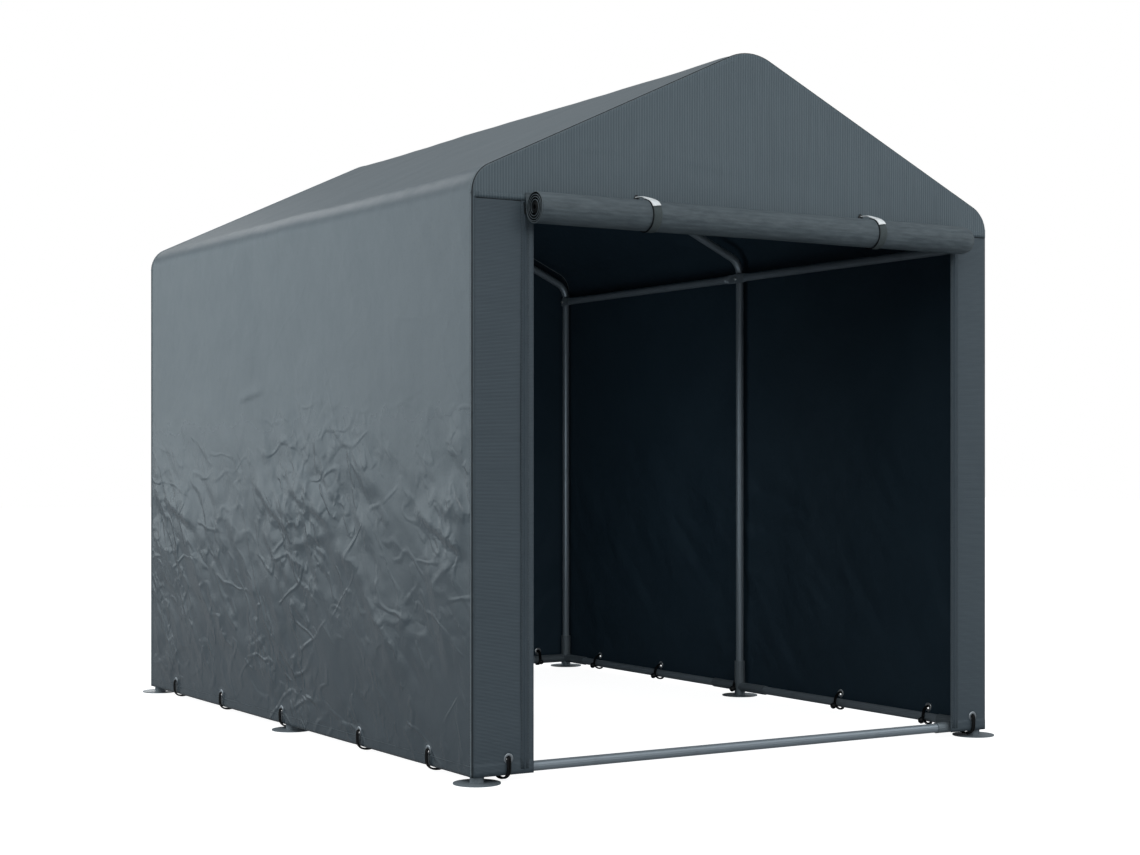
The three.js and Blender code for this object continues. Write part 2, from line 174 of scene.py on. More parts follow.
class Finish:
    """A material, with one method that adds nodes to it."""

    def __init__(self, name, **constants):
        self.material = bpy.data.materials.new(name)
        self.material.use_nodes = True
        self.tree = self.material.node_tree
        self.shader = self.tree.nodes["Principled BSDF"]
        for key, constant in constants.items():
            self.shader.inputs[key.replace("_", " ")].default_value = constant
        self.place = self.node("ShaderNodeTexCoord", output="Object")
        print("finish", name)

    def node(self, kind, settings=None, inputs=None, output=0):
        node = self.tree.nodes.new(kind)
        for key, setting in (settings or {}).items():
            setattr(node, key, setting)
        for key, given in (inputs or {}).items():
            if isinstance(given, Value):
                self.tree.links.new(given.socket, node.inputs[key])
            else:
                node.inputs[key].default_value = given
        return Value(self, node.outputs[output])

    def axis(self, letter):
        return self.node("ShaderNodeSeparateXYZ", None, {0: self.place}, letter)

    def stretched(self, x, y, z):
        return self.node("ShaderNodeMapping", None, {"Vector": self.place, "Scale": (x, y, z)})

    def shifted(self, far):
        return self.node("ShaderNodeMapping", None, {"Vector": self.place, "Location": (far, far, far)})

    def noise(self, scale, detail=2.0, place=None, roughness=0.5):
        inputs = {"Vector": place or self.place, "Scale": scale, "Detail": detail, "Roughness": roughness}
        return self.node("ShaderNodeTexNoise", None, inputs)

    def ribs(self, letter, pitch):
        """Even ribs across an axis, from 0 to 1."""
        return (self.axis(letter) * (2 * math.pi / pitch)).sine() * 0.5 + 0.5

    def mix(self, a, b, share):
        return self.node("ShaderNodeMix", {"data_type": "RGBA"}, {0: share, 6: a, 7: b}, 2)

    def attribute(self, name):
        return self.node("ShaderNodeAttribute", {"attribute_name": name}, output="Fac")

    def relief(self, height, depth, under=None):
        inputs = {"Height": height, "Distance": depth, "Strength": 1.0}
        if under is not None:
            inputs["Normal"] = under
        return self.node("ShaderNodeBump", None, inputs)

    def feed(self, **links):
        for key, value in links.items():
            self.tree.links.new(value.socket, self.shader.inputs[key.replace("_", " ")])
        return self.material


def paint(red, green, blue):
    """A display colour, 0 to 255, as the linear colour that shaders take."""
    linear = [c / 3294.6 if c <= 10 else ((c / 255 + 0.055) / 1.055) ** 2.4 for c in (red, green, blue)]
    return (*linear, 1.0)


# %% [markdown]
# ## Finishes of the sheet
# The cover is polyethylene: woven tape between two films of slate-grey coating. From a step away the weave is only
# a whisper under the gloss, and what shows is crinkle. So the finish has four scales of relief: tape weave, film
# crinkle, thin crease lines and soft dents. Crinkle and lines are strongest where the mesh is marked as crumpled.
# Sharp folds are also a little paler, where the film has been bent white. The coat is painted darker towards the
# hem, as painted shade for light that falls from above, and its tone also varies in random patches.


# %% Coated cover
CREASE_LINES = ((42, 3.0, 0.024, 3.0), (50, 5.5, 0.040, 7.0), (-26, 2.6, 0.020, 11.0), (14, 3.4, 0.024, 15.0))


def crease_lines(finish, lean, scale, width, far):
    """Thin raised lines, longest along a leaning direction and broken into short lengths."""
    turned_place = finish.node("ShaderNodeMapping", {"vector_type": "TEXTURE"},
                               {"Vector": finish.place, "Location": (far, far, far),
                                "Rotation": (math.radians(lean), 0, 0), "Scale": (1, 2.3, 1)})
    field = finish.noise(scale, 3.0, turned_place)
    line = 1 - (field - 0.5).size().ramp(0.0, width)
    broken = finish.noise(scale * 2.2, 2.0, finish.shifted(far)).ramp(0.41, 0.50)
    return line * broken


def coated_sheet(name, face, dark):
    finish = Finish(name, Specular_IOR_Level=0.55)
    weave = finish.ribs("Y", 0.0024) + finish.ribs("Z", 0.0024)
    crinkle = finish.noise(26, 5.0, None, 0.62)
    dents = finish.noise(5.5, 2.0)
    crumple = finish.attribute("crumple")
    lines = sum(crease_lines(finish, lean, scale, width, far) for lean, scale, width, far in CREASE_LINES)
    patches = finish.noise(1.3, 2.0)
    height = finish.axis("Z")
    crease = finish.attribute("crease")
    # Painted shade: darker towards the hem by height, mixed with random patches of tone.
    tone = finish.mix(dark, face, height.ramp(0.15, 1.35) * 0.75 + patches * 0.25)
    worn = finish.mix(tone, paint(150, 160, 166), crease.ramp(0.9, 3.2) * 0.10)
    grain = finish.mix(worn, paint(44, 52, 58), finish.noise(90, 3.0).ramp(0.52, 0.8) * 0.2)
    shine = finish.noise(9, 3.0) * 0.08 + height.ramp(0.6, 1.3) * 0.15 + 0.15
    fine = finish.relief(crinkle * (crumple * 0.8 + 0.2), 0.0014)
    soft = finish.relief(dents, 0.004, fine)
    sharp = finish.relief(lines * (crumple + 0.10), 0.0016, soft)
    return finish.feed(Base_Color=grain, Roughness=shine, Normal=finish.relief(weave, 0.00006, sharp))


cover_outside = coated_sheet("cover_outside", paint(86, 98, 105), paint(54, 64, 71))


# %% Inside of the sheets
def inner_face(name, face, dark, gloss):
    finish = Finish(name, Specular_IOR_Level=gloss)
    weave = finish.ribs("Y", 0.0024) + finish.ribs("Z", 0.0024)
    tone = finish.mix(dark, face, finish.noise(4, 3.0))
    crinkle = finish.relief(finish.noise(14, 4.0), 0.004)
    shine = finish.noise(8, 2.0) * 0.2 + 0.5
    return finish.feed(Base_Color=tone, Roughness=shine, Normal=finish.relief(weave, 0.00006, crinkle))


sheet_inside = inner_face("sheet_inside", paint(50, 67, 79), paint(38, 54, 66), 0.18)
# The rolled door's inner face is painted near black: painted shade between the turns of the roll.
roll_inside_shade = inner_face("roll_inside_shade", paint(8, 11, 14), paint(3, 5, 7), 0.05)


# %% Ribbed end sheets and the streaky door sheet
def ribbed_sheet(name, face, dark, letter, pitch, stretch, depth, even=1.0):
    """A sheet with even ribs; inside a roll its wound turns are painted near black, as painted shade."""
    finish = Finish(name, Specular_IOR_Level=0.3)
    ribs = finish.ribs(letter, pitch) * even + (1 - even) / 2
    threads = finish.noise(1.0, 4.0, finish.stretched(*stretch), 0.65)
    patches = finish.noise(2.2, 2.0)
    cut = (ribs * 0.55 + threads * 0.9 - 0.25).ramp(0.1, 0.95)
    tone = finish.mix(dark, face, cut * 0.75 + patches * 0.25)
    shine = threads * 0.2 + 0.42
    dents = finish.relief(finish.noise(6, 2.0), 0.004)
    # Painted shade: the turns wound inside the roll are near black.
    tone = finish.mix(tone, paint(5, 7, 9), finish.attribute("wound_shade"))
    return finish.feed(Base_Color=tone, Roughness=shine, Normal=finish.relief(ribs + threads, depth, dents))


gable_outside = ribbed_sheet("gable_outside", paint(100, 112, 119), paint(74, 86, 93),
                             "X", 0.0085, (240, 240, 5), 0.0006)
jamb_outside = ribbed_sheet("jamb_outside", paint(80, 91, 98), paint(63, 73, 81),
                            "Z", 0.0036, (7, 7, 260), 0.0004)
door_outside = ribbed_sheet("door_outside", paint(104, 114, 119), paint(54, 63, 69),
                            "Z", 0.0110, (16, 90, 90), 0.0014, 0.12)

# %% [markdown]
# ## Finishes of the fittings
# Tubes and feet are powder-coated steel, so they have orange peel and a little edge wear. Grommets, bolts and zip
# sliders are plated. Straps are woven webbing, and the elastic cord has a braided cover.


# %% Metals
def coated_steel(name, face, worn, metallic, rough):
    finish = Finish(name, Metallic=metallic)
    peel = finish.noise(420, 2.0)
    handling = finish.noise(14, 4.0).ramp(0.55, 0.75)
    tone = finish.mix(face, worn, handling * 0.35)
    shine = handling * 0.12 + peel * 0.08 + rough
    return finish.feed(Base_Color=tone, Roughness=shine, Normal=finish.relief(peel, 0.0003))


tube_steel = coated_steel("tube_steel", paint(150, 160, 168), paint(118, 127, 134), 0.4, 0.26)
foot_steel = coated_steel("foot_steel", paint(122, 131, 137), paint(96, 104, 110), 0.35, 0.4)
plated = coated_steel("plated", paint(214, 218, 220), paint(170, 175, 178), 0.85, 0.32)
dull_metal = coated_steel("dull_metal", paint(158, 164, 169), paint(112, 118, 123), 0.85, 0.34)
zip_metal = coated_steel("zip_metal", paint(58, 64, 68), paint(120, 124, 126), 0.7, 0.3)


# %% Webbing, cord and plastics
def woven_tape(name, face, dark, pitch):
    finish = Finish(name, Specular_IOR_Level=0.25)
    weave = finish.ribs("X", pitch) * finish.ribs("Z", pitch)
    tone = finish.mix(dark, face, weave * 0.6 + finish.noise(60, 3.0) * 0.4)
    rough = finish.noise(40, 2.0) * 0.15 + 0.65
    return finish.feed(Base_Color=tone, Roughness=rough, Normal=finish.relief(weave, 0.0004))


def moulded(name, face, shade, rough):
    finish = Finish(name, Specular_IOR_Level=0.45)
    skin = finish.noise(260, 2.0)
    tone = finish.mix(shade, face, finish.noise(18, 3.0).ramp(0.3, 0.6))
    return finish.feed(Base_Color=tone, Roughness=skin * 0.1 + rough, Normal=finish.relief(skin, 0.0002))


strap_web = woven_tape("strap_web", paint(90, 98, 99), paint(62, 70, 72), 0.0022)
zip_tape = woven_tape("zip_tape", paint(82, 93, 100), paint(66, 76, 84), 0.0014)
piping_cord = woven_tape("piping_cord", paint(150, 160, 166), paint(110, 120, 126), 0.002)
# A black tape finish, used only for painted shadows: the seam lines, the gable's hem and the strap's edge.
painted_shadow_black = woven_tape("painted_shadow_black", paint(20, 25, 29), paint(9, 12, 15), 0.002)
thread = woven_tape("thread", paint(112, 121, 126), paint(86, 95, 100), 0.001)
elastic = woven_tape("elastic", paint(9, 10, 12), paint(4, 5, 6), 0.0016)
white_plastic = moulded("white_plastic", paint(244, 246, 247), paint(222, 226, 228), 0.3)
black_plastic = moulded("black_plastic", paint(12, 14, 17), paint(6, 8, 10), 0.42)

# %% [markdown]
# ## Mesh tools
# A sheet is a grid of stations: one number along each edge, and a rule that says where each crossing lies. A hole
# is opened in the flat grid, before it is bent, by leaving out a cell and pushing its neighbours into a circle.
# Cords, piping and bars are round sections carried along a path that lies in one plane.


# %% Stations and pieces
def stations(start, end, step, *extra):
    """Even stations from start to end, and some more where the shape needs them."""
    even = np.linspace(start, end, max(1, round((end - start) / step)) + 1)
    apart = [s for s in even if all(abs(s - e) > step / 4 for e in extra)]
    return np.sort(np.array(apart + list(extra)))


def new_piece(name, points, faces, *finishes, smooth=True, body="root"):
    mesh = bpy.data.meshes.new(name)
    mesh.from_pydata(np.asarray(points).reshape(-1, 3).tolist(), [], faces)
    for finish in finishes:
        mesh.materials.append(finish)
    mesh.polygons.foreach_set("use_smooth", [smooth] * len(mesh.polygons))
    piece = bpy.data.objects.new(name, mesh)
    bpy.context.scene.collection.objects.link(piece)
    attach(piece, body)
    print(name, len(mesh.vertices), "points on", body)
    return piece


def thicken(piece, thickness, inner=0):
    """Gives a sheet its thickness on the inner side; inner is the material step of the inner face."""
    shell = piece.modifiers.new("thickness", "SOLIDIFY")
    shell.thickness = thickness
    shell.offset = -1
    shell.material_offset = inner
    return piece


# %% Grid sheets with round holes
HOLE_R = 0.009
HOLE_REACH = 0.026


def grid_faces(rows, columns, left_out=(), flip=False):
    faces = []
    for i in range(rows - 1):
        for j in range(columns - 1):
            if (i, j) not in left_out:
                corner = i * columns + j
                ring = [corner, corner + 1, corner + columns + 1, corner + columns]
                faces.append(ring[::-1] if flip else ring)
    return faces


def open_holes(uu, vv, u, v, holes):
    """Pushes the grid away from each hole's centre, which snaps to the middle of a cell."""
    left_out, centres = set(), []
    for hole_u, hole_v in holes:
        i = int(np.clip(np.searchsorted(u, hole_u) - 1, 0, len(u) - 2))
        j = int(np.clip(np.searchsorted(v, hole_v) - 1, 0, len(v) - 2))
        centre_u, centre_v = (u[i] + u[i + 1]) / 2, (v[j] + v[j + 1]) / 2
        du, dv = uu - centre_u, vv - centre_v
        d = np.maximum(np.hypot(du, dv), 1e-9)
        scale = np.where(d < HOLE_REACH, (HOLE_R + d * (1 - HOLE_R / HOLE_REACH)) / d, 1)
        uu, vv = centre_u + du * scale, centre_v + dv * scale
        left_out.add((i, j))
        centres.append((centre_u, centre_v))
    return uu, vv, left_out, centres


def grid_piece(name, u, v, place, *finishes, holes=(), flip=False, body="root"):
    uu, vv = np.meshgrid(u, v, indexing="ij")
    uu, vv, left_out, centres = open_holes(uu, vv, u, v, holes)
    points = np.stack(place(uu, vv), axis=-1)
    faces = grid_faces(len(u), len(v), left_out, flip)
    piece = new_piece(name, points, faces, *finishes, body=body)
    return piece, centres


# %% Rods, turned shapes and joined meshes
def rod(points, radius, side, closed=False, sides=8):
    """A round bar along a path in one plane; side is that plane's normal."""
    points = np.asarray(points, float)
    if closed:
        heading = np.roll(points, -1, 0) - np.roll(points, 1, 0)
    else:
        heading = np.gradient(points, axis=0)
    heading /= np.linalg.norm(heading, axis=1)[:, None]
    side = np.asarray(side, float)
    other = np.cross(heading, side)
    turn = np.arange(sides) * 2 * math.pi / sides
    ring = np.cos(turn)[None, :, None] * side + np.sin(turn)[None, :, None] * other[:, None, :]
    rings = points[:, None, :] + radius * ring
    spans = len(points) if closed else len(points) - 1
    faces = []
    for i in range(spans):
        a, b = i * sides, (i + 1) % len(points) * sides
        for k in range(sides):
            n = (k + 1) % sides
            faces.append([a + k, b + k, b + n, a + n])
    if not closed:
        faces.append(list(range(sides)))
        faces.append(list(range(len(points) * sides - 1, (len(points) - 1) * sides - 1, -1)))
    return rings.reshape(-1, 3), faces


def turned(profile, centre, axis, sides=20):
    """A ring or ball turned around an axis from a closed profile of (radius, height) points."""
    axis = np.asarray(axis, float)
    across = np.cross(axis, (0.0, 0.0, 1.0) if abs(axis[2]) < 0.9 else (1.0, 0.0, 0.0))
    across /= np.linalg.norm(across)
    other = np.cross(axis, across)
    turn = np.arange(sides) * 2 * math.pi / sides
    spoke = np.cos(turn)[:, None] * across + np.sin(turn)[:, None] * other
    profile = np.asarray(profile, float)
    points = centre + spoke[:, None, :] * profile[None, :, :1] + axis * profile[None, :, 1:]
    count, faces = len(profile), []
    for i in range(sides):
        for k in range(count):
            a, b, n = i * count, (i + 1) % sides * count, (k + 1) % count
            faces.append([a + k, a + n, b + n, b + k])
    return points.reshape(-1, 3), faces


def joined(parts):
    """Several meshes as one."""
    points, faces, start = [], [], 0
    for part_points, part_faces in parts:
        points.append(part_points)
        faces.extend([[index + start for index in face] for face in part_faces])
        start += len(part_points)
    return np.concatenate(points), faces


def stitches(path, side, pitch=0.0075, length=0.0050, radius=0.00085):
    """A row of thread stitches along a path."""
    path = np.asarray(path, float)
    walked = np.concatenate([[0], np.cumsum(np.linalg.norm(np.diff(path, axis=0), axis=1))])
    row = []
    for start in np.arange(pitch / 2, walked[-1] - length, pitch):
        along = np.array([start, start + length / 2, start + length])
        points = [[np.interp(s, walked, path[:, c]) for c in range(3)] for s in along]
        row.append(rod(points, radius, side, sides=5))
    return joined(row)


# %% [markdown]
# ## Creases
# Film-coated sheet does not ripple like cloth. It buckles into flat facets that meet in straight, sharp lines. A
# height that is random at the corners of a triangular lattice and straight in between does just that. Stretching
# the lattice along the pull of the sheet, and adding finer lattices, gives long folds with small breaks in them.


# %% Random heights, smooth and faceted
def chance(i, j, seed):
    shaken = np.sin(i * 127.1 + j * 311.7 + seed * 74.7) * 43758.5453
    return 2 * (shaken - np.floor(shaken)) - 1


def facets(a, b, seed):
    """Heights from -1 to 1, straight between the corners of a triangular lattice."""
    skew = (a + b) * (math.sqrt(3) - 1) / 2
    p, q = a + skew, b + skew
    i, j = np.floor(p), np.floor(q)
    far, near = np.maximum(p - i, q - j), np.minimum(p - i, q - j)
    lone = np.where(q - j > p - i, chance(i, j + 1, seed), chance(i + 1, j, seed))
    return chance(i, j, seed) * (1 - far) + lone * (far - near) + chance(i + 1, j + 1, seed) * near


def swell(a, b, seed):
    """Heights from -1 to 1 that rise and fall smoothly."""
    i, j = np.floor(a), np.floor(b)
    s, t = (a - i) ** 2 * (3 - 2 * (a - i)), (b - j) ** 2 * (3 - 2 * (b - j))
    low = chance(i, j, seed) * (1 - s) + chance(i + 1, j, seed) * s
    high = chance(i, j + 1, seed) * (1 - s) + chance(i + 1, j + 1, seed) * s
    return low * (1 - t) + high * t


def fade(x, low, high):
    t = np.clip((x - low) / (high - low), 0, 1)
    return t * t * (3 - 2 * t)


def fold_line(y, z, start, end, height, width):
    """A single fold from one point to another: a slow rise above its line and a sharp drop, width deep, below."""
    run = np.subtract(end, start)
    length = np.hypot(*run)
    along = ((y - start[0]) * run[0] + (z - start[1]) * run[1]) / length
    across = ((z - start[1]) * run[0] - (y - start[0]) * run[1]) / length
    over = across * np.sign(run[0])
    ends = np.clip(np.minimum(along, length - along) / (0.3 * length), 0, 1)
    sharp = np.clip(np.where(over > 0, 1 - over / (4 * width), 1 + over / width), 0, 1)
    return height * ends * sharp


# %% The crumpled side
LEAN = math.radians(44)
FOLDS = [
    ((-0.88, 0.72), (-1.22, 0.60), 0.013, 0.028),
    ((1.13, 0.72), (0.78, 0.62), 0.012, 0.026),
    ((0.42, 1.055), (0.18, 1.085), 0.003, 0.009),
    ((0.30, 0.80), (-0.05, 0.60), 0.008, 0.022),
    ((0.05, 0.78), (-0.36, 0.66), 0.008, 0.020),
    ((0.02, 0.58), (-0.30, 0.63), 0.006, 0.016),
    ((0.22, 0.64), (0.05, 0.50), 0.006, 0.016),
    ((-0.95, 0.62), (-1.10, 0.28), 0.007, 0.045),
    ((0.95, 0.62), (0.55, 0.20), 0.007, 0.050),
    ((0.55, 0.70), (0.15, 0.30), 0.006, 0.045),
    ((-0.55, 0.52), (-0.80, 0.22), 0.005, 0.040),
]


def unrest(y, z, seed):
    """How crumpled the side is at a place, from 0 at the top to 1 in the worst patches below."""
    low = 1 - fade(z + 0.12 * swell(y * 2.5, z * 1.2, seed + 9), 0.62, 1.05)
    return low * (0.35 + 0.65 * fade(swell(y * 2.6, z * 3.1, seed + 5), -0.5, 0.5))


def crumpled(y, z, seed, folds=()):
    """How far the side stands out at a place: smooth at the top, with leaning folds below."""
    wander = 0.05 * swell(y * 2.2, z * 2.2, seed)
    along = -y * math.cos(LEAN) - z * math.sin(LEAN) + wander
    across = y * math.sin(LEAN) - z * math.cos(LEAN) + wander
    worst = unrest(y, z, seed)
    middle = np.exp(-((y - 0.02) / 0.36) ** 2 - ((z - 0.67) / 0.15) ** 2)
    long = facets(along / 0.30, across / 0.11, seed) * 0.0070
    medium = facets(along / 0.14, across / 0.050, seed + 1) * 0.0032
    small = facets(y / 0.05, z / 0.045, seed + 2) * 0.0030
    top = facets(along / 0.6, across / 0.16, seed + 3) * 0.0022 + swell(y * 1.6, z * 1.3, seed + 4) * 0.003
    out = worst * (long + medium + 0.3 * small) + middle * 0.8 * small + (1 - 0.6 * worst) * top
    for start, end, height, width in folds:
        out = out + fold_line(y, z, start, end, height, width)
    return out


# %% [markdown]
# ## The cover
# The roof and both sides are one sheet. Its section is two upright walls, two eave bends, two slopes and a rounded
# ridge, and this section runs from the front to the rear. Each end edge turns in around a small radius and is sewn
# to the end sheet. The sheet must stay outside the tubes, so creases may go out freely and in only a little.

# %% Sizes of the cover
FRONT_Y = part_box("left_side_wall")[0].y
REAR_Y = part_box("left_side_wall")[1].y
HEM_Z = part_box("left_side_wall")[0].z
WALL_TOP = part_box("left_side_wall")[1].z
HALF_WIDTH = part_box("right_side_wall")[1].x
RIDGE_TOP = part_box("roof_left_slope")[1].z
SEAM_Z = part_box("front_gable_panel")[0].z
LEG_X = (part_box("front_right_leg")[0].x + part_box("front_right_leg")[1].x) / 2
MIDDLE_Y = (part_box("middle_left_leg")[0].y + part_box("middle_left_leg")[1].y) / 2
PITCH = math.radians(25)
EAVE_R = 0.084
RIDGE_R = 0.165
GRID = 0.0092
SHEET_T = 0.0009
EDGE_R = 0.0035
FLANGE = 0.0015
HEM_BAND = 0.030
INWARD = 0.008
print("cover", round(REAR_Y - FRONT_Y, 3), "long", round(2 * HALF_WIDTH, 3), "wide")


# %% Section of the cover
def half_section():
    """The left half from the hem to the ridge: places and outward directions in the XZ plane."""
    wall_z = stations(HEM_Z, WALL_TOP, GRID)
    wall = [(-HALF_WIDTH, z, -1.0, 0.0) for z in wall_z]
    eave_x = EAVE_R - HALF_WIDTH
    upright = math.pi / 2 + PITCH
    eave = [(eave_x + EAVE_R * math.cos(a), WALL_TOP + EAVE_R * math.sin(a), math.cos(a), math.sin(a))
            for a in np.linspace(math.pi, upright, 13)[1:]]
    ridge_z = RIDGE_TOP - RIDGE_R
    ridge = [(RIDGE_R * math.cos(a), ridge_z + RIDGE_R * math.sin(a), math.cos(a), math.sin(a))
             for a in np.linspace(upright, math.pi / 2, 10)]
    start, end = eave[-1], ridge[0]
    steps = round(math.dist(start[:2], end[:2]) / 0.0125)
    slope = [tuple(np.add(start, np.subtract(end, start) * i / steps)) for i in range(1, steps)]
    return np.array(wall + eave + slope + ridge)


HALF = half_section()
MIRROR = HALF[-2::-1] * np.array([-1, 1, -1, 1])
SECTION = np.concatenate([HALF, MIRROR])
GIRTH = np.concatenate([[0], np.cumsum(np.hypot(*np.diff(SECTION[:, :2], axis=0).T))])
print("girth of the cover", round(GIRTH[-1], 3), "m in", len(SECTION), "stations")


def along_section(s, column):
    return np.interp(s, GIRTH, SECTION[:, column])


# %% Length of the cover, with its turned-in edges
EDGE_ARC = EDGE_R * math.pi / 2
EDGE = FLANGE + EDGE_ARC
LENGTH = REAR_Y - FRONT_Y - 2 * EDGE_R + 2 * EDGE


def edge_profile(v):
    """For a place along the cover: how far it is from the nearer end plane, and how far it has turned in."""
    near = np.minimum(v, LENGTH - v)
    angle = np.clip((near - FLANGE) / EDGE_R, 0, math.pi / 2)
    from_end = EDGE_R * (1 - np.cos(angle)) + np.maximum(near - EDGE, 0)
    turned_in = EDGE_R * (1 - np.sin(angle)) + np.maximum(FLANGE - near, 0)
    return from_end, turned_in


def along_cover(y):
    return y - FRONT_Y - EDGE_R + EDGE


HEM_ROW = HEM_Z + 0.041
LEFT_HOLES = [MIDDLE_Y + d for d in (-0.985, -0.545, 0.034, 0.545, 0.985)]


def cover_place(s, v):
    from_end, turned_in = edge_profile(v)
    y = np.where(v < LENGTH / 2, FRONT_Y + from_end, REAR_Y - from_end)
    x, z = along_section(s, 0), along_section(s, 1)
    out_x, out_z = along_section(s, 2), along_section(s, 3)
    wall = 1 - fade(z, WALL_TOP - 0.10, WALL_TOP + 0.05)
    side = np.where(x < 0, crumpled(y, z, 3, FOLDS), crumpled(y, z, 17, FOLDS[3:]))
    roof = facets(s / 0.30, y / 0.14 + 0.3 * s, 31) * 0.0012 + swell(s * 2, y * 2.4, 33) * 0.003
    stand = wall * side + (1 - wall) * roof
    stand = stand * fade(np.minimum(v, LENGTH - v), EDGE, EDGE + 0.07) * fade(z, HEM_Z, HEM_Z + 0.14)
    for hole_y in LEFT_HOLES:
        pulled = np.exp(-((y - hole_y) / 0.05) ** 2 - ((z - HEM_ROW) / 0.06) ** 2)
        stand = stand - 0.003 * pulled * wall
    stand = np.where(stand < 0, -INWARD * np.tanh(-stand / INWARD), stand)
    out = stand - turned_in
    return x + out_x * out, y, z + out_z * out


# %% Make the cover
cover_v = stations(0, LENGTH, GRID, *[FLANGE + EDGE_ARC * i / 4 for i in range(5)],
                   *[LENGTH - FLANGE - EDGE_ARC * i / 4 for i in range(5)])
wall_holes = [(HEM_ROW - HEM_Z, along_cover(y)) for y in LEFT_HOLES]
wall_holes += [(GIRTH[-1] - HEM_ROW + HEM_Z, along_cover(y)) for y in LEFT_HOLES]
cover_sheet, cover_holes = grid_piece("cover_sheet", GIRTH, cover_v, cover_place, cover_outside, sheet_inside,
                                      holes=wall_holes, flip=True)
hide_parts("roof_left_slope", "roof_right_slope", "left_side_wall", "right_side_wall")


# %% Mark the creases
def mark_creases(piece, rows, columns):
    """Writes how sharply the sheet is folded at each point, for the paler fold lines."""
    co = np.empty(rows * columns * 3)
    piece.data.vertices.foreach_get("co", co)
    co = co.reshape(rows, columns, 3)
    bend = np.zeros((rows, columns))
    for axis in (0, 1):
        step = np.roll(co, -1, axis) + np.roll(co, 1, axis) - 2 * co
        bend += np.linalg.norm(step, axis=2)
    bend[0] = bend[-1] = bend[:, 0] = bend[:, -1] = 0
    attribute = piece.data.attributes.new("crease", "FLOAT", "POINT")
    attribute.data.foreach_set("value", (bend / 0.0016).astype(np.float32).ravel())
    print("sharpest fold", round(float(np.percentile(bend, 99.5)) * 1000, 2), "mm a step")
    x, y, z = co[..., 0], co[..., 1], co[..., 2]
    wall = fade(np.abs(x), HALF_WIDTH - 0.06, HALF_WIDTH - 0.02) * fade(-z, -WALL_TOP, -WALL_TOP + 0.1)
    rough = wall * np.where(x < 0, unrest(y, z, 3), unrest(y, z, 17))
    attribute = piece.data.attributes.new("crumple", "FLOAT", "POINT")
    attribute.data.foreach_set("value", rough.astype(np.float32).ravel())


mark_creases(cover_sheet, len(GIRTH), len(cover_v))
thicken(cover_sheet, SHEET_T, inner=1)
bpy.context.view_layer.update()

# %% [markdown]
# ## End sheets
# The rear sheet reaches from the hem to the ridge, and the front one is only a gable above the doorway. Both are
# cut to the section and lie just inside the cover's turned-in edge. Two jambs close the front beside the door.

# %% Outline and helpers of the end sheets
TUCK = EDGE_R - 0.001
TOP_LINE = SECTION[:, :2] - TUCK * SECTION[:, 2:]
CORNER_X = HALF_WIDTH - TUCK
FRONT_FACE = FRONT_Y - 0.0010
GABLE_FACE = FRONT_Y - 0.0020
REAR_FACE = REAR_Y + 0.0010


def top_at(x):
    """Height of an end sheet's upper edge at a place across the tent."""
    rising = (TOP_LINE[:, 1] > WALL_TOP) & (np.abs(TOP_LINE[:, 0]) <= CORNER_X)
    return np.interp(x, TOP_LINE[rising, 0], TOP_LINE[rising, 1])


def gable_height(x, v):
    """Keeps heights below the seam as they are and squeezes those above it under the roof line."""
    share = np.clip((v - SEAM_Z) / (RIDGE_TOP - SEAM_Z), 0, 1)
    return np.where(v > SEAM_Z, SEAM_Z + share * (top_at(x) - SEAM_Z), v)


def rear_place(x, v):
    z = gable_height(x, v)
    held = fade(CORNER_X - np.abs(x), 0, 0.10) * fade(z - HEM_Z, 0, 0.12)
    out = held * (crumpled(x * 0.9, z, 51) * 0.9)
    out = np.where(out < 0, -0.006 * np.tanh(-out / 0.006), out)
    hem = np.where(z < HEM_Z + HEM_BAND, 0.0011, 0)
    return x, REAR_FACE + out + hem, z


def gable_place(x, v):
    z = gable_height(x, v)
    held = fade(CORNER_X - np.abs(x), 0, 0.08) * fade(top_at(x) - z, 0, 0.08)
    out = held * (swell(x * 3, z * 3.2, 61) * 0.0012 + facets(x / 0.30, z / 0.10, 62) * 0.0009)
    out = out + fold_line(x, z, (-0.30, 1.70), (0.02, 1.675), 0.0014, 0.008)
    out = out + fold_line(x, z, (-0.62, 1.70), (-0.43, 1.705), 0.001, 0.006)
    return x, GABLE_FACE - out, z


# %% Rear sheet and gable
EDGE_X = [CORNER_X - d for d in (0.004, 0.009, 0.016, 0.026, 0.040)]
end_x = stations(-CORNER_X, CORNER_X, 0.0125, *EDGE_X, *[-x for x in EDGE_X])
rear_holes = [(x, HEM_ROW) for x in (-0.766, -0.383, 0.0, 0.383, 0.766)]
rear_v = stations(HEM_Z, RIDGE_TOP, 0.0125, HEM_Z + HEM_BAND - 0.0007, HEM_Z + HEM_BAND + 0.0007)
rear_sheet, rear_centres = grid_piece("rear_sheet", end_x, rear_v, rear_place, jamb_outside, sheet_inside,
                                      holes=rear_holes)
gable_v = stations(SEAM_Z - 0.004, RIDGE_TOP, 0.0125)
gable_sheet, _ = grid_piece("gable_sheet", end_x, gable_v, gable_place, gable_outside, sheet_inside, flip=True)
for sheet, node in ((rear_sheet, "rear_panel"), (gable_sheet, "front_gable_panel")):
    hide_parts(node)
    thicken(sheet, SHEET_T, inner=1)

# %% Jambs
JAMB_HOLE_X = {"left": -0.804, "right": 0.853}
JAMB_HEM = 0.009
jamb_sheets, jamb_centres = {}, {}


